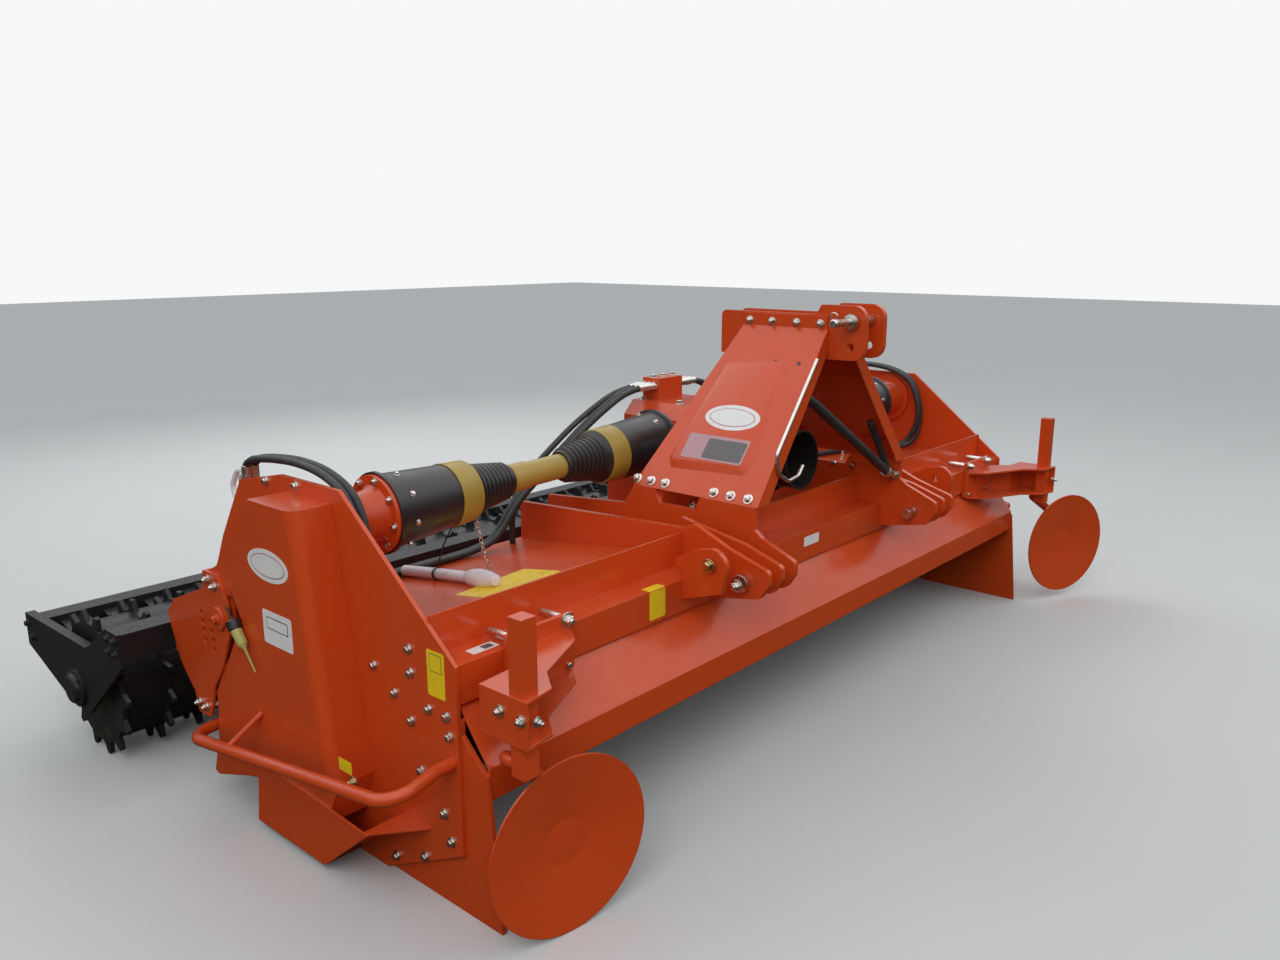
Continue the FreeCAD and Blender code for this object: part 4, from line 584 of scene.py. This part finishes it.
def weld_seams():
    """Weld beads at both end plates: along the deck, and around the top of the beam and the rail."""
    work = Work()
    start, length, steps, bead, ripple = 240, 730, 60, 3.2, 0.8
    for _, sign in SIDES:
        x = (HALF_WIDTH - END_PLATE - 3) * sign
        points = []
        for step in range(steps + 1):
            y = start + length * step / steps
            points.append((x, y, deck_at(y) + 2 + ripple * math.sin(step * 1.9)))
        work.rod(points, bead, 6, 1)
        work.rod([(x, BEAM_FRONT + 4, BEAM_HIGH + 2), (x, RAIL_Y - 3, BEAM_HIGH + 2),
                  (x, RAIL_Y - 3, RAIL_HIGH - 4)], bead, 6, 1)
    work.piece("weld_seams", "orange_paint")


def case_fittings():
    """Filler and level plugs of the gear cases, on their covers' outer faces."""
    for side, sign in SIDES:
        face, way = CASE_X * sign, (sign, 0, 0)
        work = Work()
        work.revolve([(0, 0), (0, 17), (4, 17), (4, 12), (9, 12), (9, 0)], (face, 388, 318), way, 20)
        work.bolt((face + 9 * sign, 388, 318), way, 17, washer=False)
        work.revolve([(0, 0), (0, 15), (4, 15), (4, 11), (8, 10), (8, 0)], (face, 700, 240), way, 20)
        work.bolt((face + 8 * sign, 700, 240), way, 14, washer=False)
        work.piece(f"case_plugs_{side}", "gold_steel", "bright_steel")


def bow_stays():
    """Thin stays between the guard bows and the gear cases."""
    for side, sign in SIDES:
        work = Work()
        work.rod([((CASE_X - 2) * sign, 822, 368), ((HALF_WIDTH + 198) * sign, 868, 284)], 8, 10)
        work.piece(f"bow_stay_{side}", "orange_paint")


def arm_pins():
    """Caps over the arm pivots, and the bolts of the housings that carry them."""
    for side, sign in SIDES:
        face, way = (CASE_X + 8) * sign, (sign, 0, 0)
        work, cap = Work(), Work()
        cap.revolve([(0, 0), (0, 34), (7, 34), (9, 31), (9, 0)], (face, PIVOT_Y, PIVOT_Z), way, 28)
        cap.bolt((face + 9 * sign, PIVOT_Y, PIVOT_Z), way, 20)
        cap.piece(f"pivot_cap_{side}", "orange_paint")
        for y, z in ((1050, 704), (1014, 690), (1175, 295), (1134, 291)):
            work.bolt((face, y, z), way, 17, stud=6)
        work.piece(f"housing_bolts_{side}", "bright_steel")


def smooth_path(points, steps=8):
    """Points along a smooth curve through the given ones, as a hose takes between its clips."""
    points = [Vector(point) for point in points]
    ends = [points[0] * 2 - points[1]] + points + [points[-1] * 2 - points[-2]]
    path = []
    for first, second, third, fourth in zip(ends, ends[1:], ends[2:], ends[3:]):
        short = (third - second).length
        start_way, end_way = ((far - near) * min(0.5, short / max((far - near).length, 2))
                              for near, far in ((first, third), (second, fourth)))
        for step in range(steps):
            share = step / steps
            square, cube = share ** 2, share ** 3
            path.append(second * (2 * cube - 3 * square + 1) + start_way * (cube - 2 * square + share)
                        + third * (3 * square - 2 * cube) + end_way * (cube - square))
    return path + [points[-1]]


def hoses():
    """The rubber hoses, in natural curves, between the valve block and the end plates' ports."""
    level = HOSE_LEVEL
    for side, sign in SIDES:
        work = Work()
        for number, y in enumerate(HOSE_ROWS[:2]):
            x = port_x(number)
            rear, front = y + 100, 522 + 24 * number
            spots = [(VALVE_HALF, y, level), (150, y, level), (250, y + 8, 1080), (400, y + 22, 1000),
                     (560, y + 45, 880), (700, y + 66, 772), (800, y + 84, deck_at(rear) + 48),
                     (900, rear, deck_at(rear) + 16), (1100, rear + 4, deck_at(rear) + 14),
                     (1270, rear - 10, deck_at(rear) + 16), (1400, rear - 120, deck_at(rear - 120) + 16),
                     (x - 90, front + 70, deck_at(front + 70) + 16), (x - 22, front + 10, deck_at(520) + 46),
                     (x, front - 4 - 22 * number, 800), (x, 532, 900), (x, 580, 988), (x, 680, 1032),
                     (x, 805, 1046), (x, 930, 1040), (x, 1030, 1026), (x, PORT_Y - 12, 1010),
                     (x, PORT_Y, PORT_Z + 38), (x, PORT_Y, PORT_Z + 20)]
            work.rod(smooth_path([(place[0] * sign, *place[1:]) for place in spots]), HOSE, 14, 1)
        if sign < 0:
            y, rear = HOSE_ROWS[2], 925
            spots = [(-VALVE_HALF, y, level), (-150, y, level), (-260, y + 10, 1080), (-420, 880, 1000),
                     (-560, 900, 900), (-650, 915, 820), (-694, 924, 740), (-700, rear, deck_at(rear) + 20),
                     (-700, rear, deck_at(rear) + 1)]
            work.rod(smooth_path(spots), HOSE, 14, 1)
        piece = work.piece(f"hose_runs_{side}", "hose_rubber")
        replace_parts(piece, f"hoses_{side}")


def hose_ports():
    """Swivel fittings where the hoses enter the end plates' blocks, and the pale loop around them."""
    for side, sign in SIDES:
        fittings, tie = Work(), Work()
        for number in range(2):
            port = (port_x(number) * sign, PORT_Y, PORT_Z)
            fittings.revolve([(0, 0), (0, 14), (11, 14), (13, 12), (13, 0)], port, UP, 6)
            fittings.revolve([(12, 0), (12, 13.5), (40, 13.5), (42, 12), (42, 0)], port, UP, 16)
        fittings.piece(f"hose_fittings_{side}", "bright_steel")
        middle = Vector(((HALF_WIDTH - 30) * sign, PORT_Y, PORT_Z))
        tie.rod([middle + Vector(offset) for offset in (
            (0, 14, 26), (0, 58, 16), (0, 92, -34), (4, 66, -92), (6, 30, -60), (0, 40, 4), (-4, 12, 16))],
                8, 10, 30)
        tie.piece(f"hose_tie_{side}", "white_film", "olive_plastic")


def horn_marker():
    """The pale plastic horn that points down beside the right-hand arm housing, with its cap and tie."""
    work, cap = Work(), Work()
    x = -CASE_X - 18
    work.rod([(x, 899, 605), (x, 855, 558), (x + 2, 808, 496)], 16, 16, 150, 2)
    work.piece("horn_marker", "horn_plastic", "olive_plastic")
    cap.revolve([(0, 0), (0, 15), (4, 20), (26, 20), (30, 17), (30, 0)], (x, 892, 596), (0, 0.5, 0.86))
    cap.rod([(x, 904, 618), (x + 1, 940, 650), (x + 9, 958, 640)], 3, 8)
    cap.piece("horn_cap", "black_plastic")


# Fittings of the hood and the disc brackets

def clamp_bolts():
    """Long bolts that hold each disc bracket on the beam, and the bolts of its end box."""
    high, low, ahead = BEAM_HIGH + 19, BEAM_HIGH - 105, -REARWARD
    for side, sign in SIDES:
        work = Work()
        for offset in (-90, 90):
            x = (CLAMP_X + offset) * sign
            work.bolt((x, CLAMP_FRONT, high), ahead, 25, stud=6)
            work.rod([(x, CLAMP_FRONT + 14, high), (x, RAIL_Y - 22, high)], 12, 14)
            work.bolt((x, CLAMP_FRONT, low), ahead, 16)
        box = (POST_X + 30.5) * sign
        for y, z in ((-40, 605), (-110, 602)):
            work.bolt((box, y, z), (sign, 0, 0), 18, stud=4)
        work.bolt((POST_X * sign, -128, 595), ahead, 16, stud=10)
        work.piece(f"clamp_bolts_{side}", "bright_steel")


def lug_bolts():
    """Bolts through the hitch bases' outer lugs, the nuts of the lower hitch pins, and the bolts beside
    the input guard."""
    gold, bright = Work(), Work()
    for _, sign in SIDES:
        gold.bolt((758 * sign, 24, 724), (sign, 0, 0), 26)
        bright.bolt((660 * sign, -6, HITCH_Z), (sign, 0, 0), 24, stud=6)
        for y in (250, 330, 470):
            bright.bolt(((HITCH_HALF - 60) * sign, y, 790), (-sign, 0, 0), 18, washer=False)
    gold.piece("lug_bolts", "gold_steel", "bright_steel")
    bright.piece("hitch_pin_nuts", "bright_steel")


def rail_gussets():
    """Triangular ribs between the rail and the deck."""
    work = Work()
    rear, thick = RAIL_Y + SHEET, 6
    for x in (-1500, -1050, 1050, 1500):
        x -= thick / 2
        work.slab([(x, rear, RAIL_HIGH - 6), (x, rear + 95, deck_at(rear + 95)), (x, rear, deck_at(rear))],
                  (thick, 0, 0))
    work.piece("rail_gussets", "orange_paint", bevel=1)


def deck_tube():
    """The milky sleeve with papers that lies on the deck behind the rail, held by a black tie."""
    sleeve = Work()
    lift = 19
    spots = [Vector((x, y, deck_at(y) + lift)) for x, y in ((-1172, 900), (-1162, 750), (-1160, 600))]
    sleeve.rod(spots, 17, 18)
    way = (spots[-1] - spots[-2]).normalized()
    sleeve.revolve([(-10, 17.5), (0, 22), (18, 27), (50, 29), (88, 25), (118, 17), (128, 0)], spots[-1],
                   way, 22)
    sleeve.piece("paper_sleeve", "milky_sleeve", "olive_plastic")
    tie = Work()
    spot = spots[1]
    tie.revolve([(-4, 17.4), (-4, 20), (4, 20), (4, 17.4), (-4, 17.4)], spot, way, 24)
    tie.rod([spot + Vector((0, 0, 19)), spot + Vector((12, -20, 90)), (INPUT_X - 60, INPUT_Y, 795)], 2.6, 6)
    tie.piece("paper_tie", "black_plastic")


# Fittings of the headstock

def leg_frame(sign):
    """A point on a leg's outer sheet from (y, up the slope), and the sheet's two directions."""
    rise, run = LEG_TOP - FOOT_Z, LEG_FOOT_X - LEG_TOP_X
    slope = math.hypot(rise, run)
    up = Vector((-run * sign / slope, 0, rise / slope))
    out = Vector((rise * sign / slope, 0, run / slope))

    def at(y, height):
        return Vector((LEG_FOOT_X * sign, y, FOOT_Z)) + up * height
    return at, up, out


def leg_pressing(side, sign):
    """The pressed panel of a leg: proud at its foot and running out into the sheet at its top."""
    at, _, out = leg_frame(sign)
    work = Work()
    outline = [(150, 98), (432, 84), (458, 118), (430, 300), (398, 500), (172, 530), (146, 300), (128, 132)]
    middle_y, middle_height = 288, 290
    base = [work.point(at(y, height) - out * 0.5) for y, height in outline]
    top = []
    slant, slant_at_top = 0.13, 0.02
    for y, height in outline:
        inward_y = y + (middle_y - y) * slant
        inward_height = height + (middle_height - height) * (slant if height < 400 else slant_at_top)
        top.append(work.point(at(inward_y, inward_height) + out * pressing_proud(inward_height)))
    work.mesh.faces.new(top)
    for index in range(len(outline)):
        after = (index + 1) % len(outline)
        work.mesh.faces.new((base[index], base[after], top[after], top[index]))
    work.piece(f"leg_pressing_{side}", "orange_paint", bevel=7)


def pressing_proud(height):
    """How far a leg's pressed panel stands out of its sheet, at a distance up the slope."""
    return max(0.6, PRESSING_DEPTH * (1 - height / PRESSING_TOP))


def leg_bolts():
    """Bolts at the legs' feet and through the top-link plates, with black discs painted as the shade inside
    two free holes in each leg.
    """
    work, hole_shade_discs = Work(), Work()
    for sign in (-1, 1):
        at, _, out = leg_frame(sign)
        for y in (545, 485, 425, 226, 160, 94):
            work.bolt(at(y, 24), out, 21, stud=3)
        for y in (376, 286, 189, 98):
            work.bolt((LEG_TOP_X * sign, y, LEG_TOP + 16), (sign, 0, 0), 18, stud=5)
        # Painted shade: thin black discs stand for the dark inside of the legs' free holes.
        for y in (213, 122):
            hole_shade_discs.revolve([(0, 0), (0.4, 0), (0.4, 7.5), (0, 7.5)], at(y, 521), out, 16)
    work.piece("leg_bolts", "bright_steel")
    hole_shade_discs.piece("leg_hole_shade_discs", "black_plastic")


def top_pin_handle():
    """The handle end of the top-link pin, with its collar and linchpin ring."""
    work = Work()
    y, z = TOP_PIN_Y, TOP_PIN_Z
    work.revolve([(0, 0), (0, 21), (8, 21), (9, 19), (9, 12), (84, 12), (90, 14), (104, 14), (108, 11),
                  (108, 0)], (-91, y, z), (-1, 0, 0), 22)
    work.rod([(-178, y, z + 4), (-180, y - 6, z + 30), (-176, y + 22, z + 34), (-174, y + 18, z + 4)], 2.6, 8)
    work.piece("top_pin_handle", "bright_steel")


# Side drives, input guard and what hangs in the headstock

def drive_guards():
    """The side drives' guards: bells on flanges, olive bands, ribbed cones, and the tube between them."""
    shaft_start, shaft_end = HALF_WIDTH - END_PLATE - 112, GEARBOX_HALF + 36
    wide_tube, narrow_tube, tube_start, tube_end = 45, 41, 330, 250
    ribs, rib_pitch, taper = 8, 18, 2.6
    for side, sign in SIDES:
        outer = Vector((shaft_start * sign, INPUT_Y, INPUT_Z))
        inner = Vector((shaft_end * sign, INPUT_Y, DRIVE_Z))
        guards, bands, flange, bolts, tube = Work(), Work(), Work(), Work(), Work()
        inward = inner - outer
        middle, tube_stop = inward.length / 2, inward.length - tube_end
        tube.revolve([(tube_start, 0), (tube_start, wide_tube), (middle, wide_tube),
                      (middle + 2, narrow_tube), (tube_stop, narrow_tube), (tube_stop, 0)], outer, inward, 32)
        flange.revolve([(0, 0), (0, 64), (52, 74), (68, 84), (68, 112), (80, 112), (80, 0)], outer,
                       inward, 36)
        for start, way, skip, bell in ((outer, inward, 80, 232), (inner, -inward, 0, 236)):
            band_start = skip + bell
            cone_start = band_start + GUARD_BAND
            profile = [(skip, 0), (skip, GUARD_RADIUS + 12), (skip + 12, GUARD_RADIUS + 12),
                       (skip + 16, GUARD_RADIUS + 3), (band_start, GUARD_RADIUS - 11),
                       (cone_start, GUARD_RADIUS - 16), (cone_start + 8, GUARD_RADIUS - 26)]
            for number in range(ribs):
                at = cone_start + 14 + number * rib_pitch
                radius = GUARD_RADIUS - 33 - number * taper
                profile += [(at, radius), (at + 4, radius + 5), (at + 9, radius + 5), (at + 13, radius - 3)]
            end = cone_start + 168
            profile += [(end - 6, GUARD_TUBE + 16), (end, GUARD_TUBE + 12), (end, GUARD_TUBE + 3)]
            guards.revolve(profile, start, way, 40)
            bands.revolve([(band_start, GUARD_RADIUS - 12), (band_start, GUARD_RADIUS - 8),
                           (band_start + 30, GUARD_RADIUS - 10), (cone_start - 4, GUARD_RADIUS - 12),
                           (cone_start, GUARD_RADIUS - 14), (cone_start, GUARD_RADIUS - 17)], start, way, 40)
            along = way.normalized()
            across = along.orthogonal().normalized()
            for spoke in spokes(8, across, along.cross(across), math.tau / 32):
                bolts.bolt(start + along * (skip + 60) + spoke * (GUARD_RADIUS - 1), spoke, 11)
                if skip:
                    bolts.bolt(start + along * 68 + spoke * 97, -along, 15)
        piece = guards.piece(f"drive_guard_bells_{side}", "black_plastic")
        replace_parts(piece, f"drive_guards_{side}")
        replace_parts(tube.piece(f"drive_tube_{side}", "olive_plastic"), "drive_tubes")
        bands.piece(f"guard_bands_{side}", "band_plastic", "olive_plastic")
        flange.piece(f"drive_flange_{side}", "orange_paint")
        bolts.piece(f"guard_bolts_{side}", "bright_steel")


def input_bell():
    """The rubber bell in front of the input guard, open at its front."""
    work = Work()
    front = GEARBOX_FRONT - 160
    work.revolve([(0, 92), (0, 112), (14, 114), (20, 108), (130, 98), (156, 104), (164, 104), (164, 98),
                  (130, 92), (20, 100), (0, 92)], (0, front, 884), (0, -1, 0.03), 40)
    work.piece("input_bell", "black_plastic")


def storage_bars():
    """Two black stays that hang in the headstock and meet at a clevis on the left-hand base."""
    bars, clevis = Work(), Work()
    bars.rod([(-190, 92, 1150), (-121, 84, 1112), (405, 84, 800)], 17, 14)
    bars.rod([(285, 96, 1000), (330, 92, 935), (425, 78, 775)], 13, 12)
    bars.piece("storage_bars", "hose_rubber")
    clevis.revolve([(0, 0), (0, 21), (40, 21), (46, 16), (46, 0)], (398, 84, 804), (1, 0, -0.6), 18)
    clevis.bolt((HITCH_HALF - HITCH_GAP / 2 - HITCH_PLATE - 1, 78, 776), (-1, 0, 0), 22)
    clevis.piece("storage_clevis", "bright_steel")


def valve_fittings():
    """Ferrules and couplers of the hoses at the valve block, and the bolts and plugs of the gearbox."""
    work = Work()
    for side, sign in SIDES:
        for y in HOSE_ROWS if side == "right" else HOSE_ROWS[:2]:
            place = (VALVE_HALF * sign, y, HOSE_LEVEL)
            work.revolve([(0, 0), (0, 17), (14, 17), (14, 0)], place, (sign, 0, 0), 6)
            work.revolve([(14, 0), (14, 14), (44, 14), (46, 16), (62, 16), (64, 13.5), (96, 13.5), (98, 12),
                          (98, 0)], place, (sign, 0, 0), 18)
    for x in (-55, 0, 55):
        work.bolt((x, 829, GEARBOX_TOP + 80), UP, 17)
    for x in (-95, 95):
        for y in (GEARBOX_FRONT + 40, GEARBOX_FRONT + 150, GEARBOX_REAR - 40):
            work.bolt((x, y, GEARBOX_TOP), UP, 19)
    for _, sign in SIDES:
        flange = Vector(((GEARBOX_HALF + 30) * sign, INPUT_Y, DRIVE_Z))
        for spoke in spokes(8):
            work.bolt(flange + spoke * 78, (sign, 0, 0), 12, washer=False)
        for y in (GEARBOX_FRONT + 20, GEARBOX_REAR + 10):
            work.bolt(((GEARBOX_HALF + 38) * sign, y, 778), UP, 22)
    work.piece("gearbox_bolts", "bright_steel")
    plug = Work()
    plug.revolve([(0, 0), (0, 20), (10, 20), (14, 16), (26, 16), (30, 10), (30, 0)],
                 (0, GEARBOX_FRONT + 90, GEARBOX_TOP), UP, 20)
    plug.revolve([(0, 0), (0, 24), (5, 24), (5, 16), (9, 16), (9, 0)], (0, GEARBOX_REAR, 900), REARWARD, 24)
    plug.piece("gearbox_plugs", "gold_steel", "bright_steel")


def guard_chains():
    """Thin chains from the guards' bands to the deck, which keep the guards from turning."""
    links, sag, half_wide, wire = 13, 26, 5.5, 1.7
    for side, sign in SIDES:
        work = Work()
        for x, foot_x, foot_y in ((1090, 1040, 640), (330, 370, 620)):
            high = Vector((x * sign, INPUT_Y - 58, 815))
            low = Vector((foot_x * sign, foot_y, deck_at(foot_y) + 4))
            way, half_long = (low - high).normalized(), (low - high).length / links * 0.72
            for number in range(links):
                share = number / links
                middle = high.lerp(low, share + 0.5 / links) - UP * sag * math.sin(math.pi * share)
                flat = Vector((1, 0, 0)) if number % 2 else REARWARD
                flat = (flat - way * flat.dot(way)).normalized()
                loop = [middle + way * half_long * a + flat * half_wide * b
                        for a, b in ((-1, 0), (-0.6, 1), (0.6, 1), (1, 0), (0.6, -1), (-0.6, -1), (-1, 0))]
                work.rod(loop, wire, 5, 4)
        work.piece(f"guard_chains_{side}", "bright_steel")


# Rotor, roller and discs

def rotor_bolts():
    """Two bolts through the shank of each tine."""
    work = Work()
    half = HALF_WIDTH - END_PLATE * 2 - 20
    margin = TINE_REACH + FLANGE_THICK + 6
    pitch = (half - margin) * 2 / (ROTOR_FLANGES - 1)
    helix_step, tine_face = 27, 16
    for index in range(ROTOR_FLANGES):
        for number in range(TINES_EACH_WAY * 2):
            side = 1 if number % 2 == 0 else -1
            angle = math.radians(index * helix_step + number * 180 / TINES_EACH_WAY)
            for radius in (88, 114):
                place = (-half + margin + index * pitch + tine_face * side,
                         ROTOR_Y - radius * math.sin(angle), ROTOR_Z + radius * math.cos(angle))
                work.bolt(place, (side, 0, 0), 17, washer=False, stud=3)
    work.piece("tine_bolts", "wear_steel", body="rotor")


def roller_bearings():
    """Flanged bearings on the roller frame's side plates, and bolts along its beams."""
    for side, sign in SIDES:
        housing, bolts = Work(), Work()
        face = FRAME_HALF * sign
        middle = Vector((face, ROLLER_Y, ROLLER_Z))
        housing.revolve([(0, 0), (0, 62), (10, 62), (14, 50), (24, 46), (28, 40), (28, 0)], middle,
                        (sign, 0, 0), 32)
        housing.piece(f"roller_bearing_{side}", "black_paint", body="roller_frame")
        for spoke in spokes(4):
            bolts.bolt(middle + Vector((10 * sign, 0, 0)) + spoke * 54, (sign, 0, 0), 13, washer=False)
        for y in (22, 64):
            for z in (22, 64):
                bolts.bolt((face, FRONT_TUBE_Y + y, FRONT_TUBE_Z + z), (sign, 0, 0), 17)
        for corner in (20, 60):
            bolts.bolt((face, REAR_TUBE_Y + corner, REAR_TUBE_Z + corner), (sign, 0, 0), 17)
        bolts.piece(f"roller_frame_bolts_{side}", "black_paint", body="roller_frame")


def scraper_bolts():
    """A bolt for each of the roller's scrapers, along the rear beam."""
    work = Work()
    pitch = (ROLLER_HALF * 2 - RING_THICK) / (ROLLER_RINGS - 1)
    for number in range(ROLLER_RINGS - 1):
        x = -ROLLER_HALF + RING_THICK / 2 + (number + 0.5) * pitch
        work.bolt((x, REAR_TUBE_Y + REAR_TUBE, REAR_TUBE_Z + 46), (0, 1, 0), 19, stud=5)
    work.piece("scraper_bolts", "bright_steel", body="roller_frame")


def board_straps():
    """Hinge straps and a stiffening fold on the rear face of the levelling board."""
    lean = math.radians(BOARD_RAKE)
    down = Vector((0, math.sin(lean), -math.cos(lean)))
    out = Vector((0, math.cos(lean), math.sin(lean)))
    hinge = Vector((0, HOOD_REAR + 4, HOOD_REAR_LOW - 26))
    straps, bolts = Work(), Work()
    last_strap, strap_pitch, strap, fold_half = 1380, 460, 6, 1560
    for x in range(-last_strap, last_strap + 1, strap_pitch):
        middle = Vector((x, 0, 0)) + hinge + out * SHEET
        corners = [middle + Vector((aside, 0, 0)) + down * reach
                   for aside, reach in ((-26, 14), (26, 14), (26, 96), (12, 118), (-12, 118), (-26, 96))]
        straps.slab(corners, out * strap)
        for reach in (44, 84):
            bolts.bolt(middle + down * reach + out * strap, out, 17)
    end = hinge + out * SHEET - Vector((fold_half, 0, 0))
    section = [end + down * reach + out * proud
               for reach, proud in ((250, 0), (262, 11), (290, 11), (302, 0))]
    straps.slab(section, (fold_half * 2, 0, 0))
    straps.piece("board_straps", "orange_paint", body="rear_board", bevel=2)
    bolts.piece("board_bolts", "bright_steel", body="rear_board")


def disc_hubs():
    """Bolts at the rear of the two discs' hubs."""
    hub_rear, bolt_circle = 70, 36
    for side, turn, place in (("right", -8.5, (-POST_X + 114, -113, 228)),
                              ("left", -23.0, (POST_X + 185, -153, 264))):
        back = Vector((-math.sin(math.radians(turn)), math.cos(math.radians(turn)), 0))
        rear = Work()
        for spoke in spokes(5, UP, back.cross(UP)):
            rear.bolt(Vector(place) + back * hub_rear + spoke * bolt_circle, back, 12, washer=False)
        rear.piece(f"hub_bolts_{side}", "bright_steel", body=f"disc_{side}")


# Labels, all of them blank

def label(name, across, up, layers, thick=0.5, step=0.3, oval=False):
    """A blank label in layers of (finish, centre, width, height), each thicker than the one before."""
    for number, (finish, centre, width, height) in enumerate(layers):
        film = Work().patch(centre, across, up, width, height, thick + step * number, oval)
        film.piece(f"{name}_{number}", finish, "olive_plastic")


def oval_layers(centre, *sizes):
    """The layers of an oval label: white, with a pink line around its field."""
    films = ("white_film", "pink_film", "white_film")
    return [(film, centre, width, height) for film, (width, height) in zip(films, sizes)]


def labels():
    """Plain labels with blank fields, on the gear cases, the end plates, the hood and the legs."""
    for side, sign in SIDES:
        face, plate = CASE_X * sign, HALF_WIDTH * sign
        across = (0, sign, 0)
        label(f"case_oval_{side}", across, UP,
              oval_layers((face, 726, 809), (200, 88), (168, 64), (160, 57)), oval=True)
        label(f"case_plate_{side}", across, UP, [
            ("white_film", (face, 701, 637), 142, 94), ("grey_film", (face, 701, 650), 104, 34),
            ("white_film", (face, 701, 650), 98, 28)])
        label(f"end_plate_label_{side}", across, UP, [
            ("yellow_film", (plate, 198, 620), 66, 118), ("grey_film", (plate, 198, 648), 46, 46),
            ("yellow_film", (plate, 198, 648), 42, 42)])
        label(f"plug_label_{side}", across, UP, [("yellow_film", (face, 424, 350), 56, 34)])
    for side, sign in SIDES:
        at, slope, out = leg_frame(sign)
        across = slope.cross(out)
        lean = (slope - out * PRESSING_DEPTH / PRESSING_TOP).normalized()
        oval, plate, field = (at(y, height) + out * pressing_proud(height)
                              for y, height in ((274, 291), (284, 170), (246, 168)))
        label(f"leg_oval_{side}", across, lean,
              oval_layers(oval, (215, 96), (180, 70), (172, 63)), 0.9, 0.4, oval=True)
        label(f"leg_plate_{side}", across, lean, [
            ("pink_film", plate, 242, 92), ("grey_film", field, 152, 74)], 0.9, 0.4)
    along = (1, 0, 0)
    label("rail_label", (1, 0.144, -0.0192), (-0.144, 1, -0.1333), [
        ("yellow_film", (-1110, 482, deck_at(482)), 306, 146)], 0.6)
    label("beam_top_label", along, REARWARD, [
        ("white_film", (-1476, 172, BEAM_HIGH), 82, 34), ("grey_film", (-1462, 172, BEAM_HIGH), 30, 22)])
    for number, (up, centre, height) in enumerate((
            (UP, (-860, BEAM_FRONT, 612), 86), (REARWARD, (-860, BEAM_FRONT + 16, BEAM_HIGH), 32))):
        film = Work().patch(centre, along, up, 70, height, 0.5)
        film.piece(f"beam_label_{number}", "yellow_film", "olive_plastic")
    label("middle_label", along, UP, [("white_film", (-29, BEAM_FRONT, 622), 96, 34)])


def make_floor():
    bpy.ops.mesh.primitive_grid_add(x_subdivisions=4, y_subdivisions=4, size=60, location=(0, 0, -0.001))
    floor = bpy.context.object
    floor.name = "Floor"
    floor.data.materials.append(floor_finish())


make_camera()
make_light()
dress_frame()
make_floor()
end_plate_bolts()
weld_seams()
case_fittings()
bow_stays()
arm_pins()
hoses()
hose_ports()
horn_marker()
clamp_bolts()
lug_bolts()
rail_gussets()
deck_tube()
for side_name, side_sign in SIDES:
    leg_pressing(side_name, side_sign)
leg_bolts()
top_pin_handle()
drive_guards()
input_bell()
storage_bars()
valve_fittings()
guard_chains()
rotor_bolts()
roller_bearings()
scraper_bolts()
board_straps()
disc_hubs()
labels()
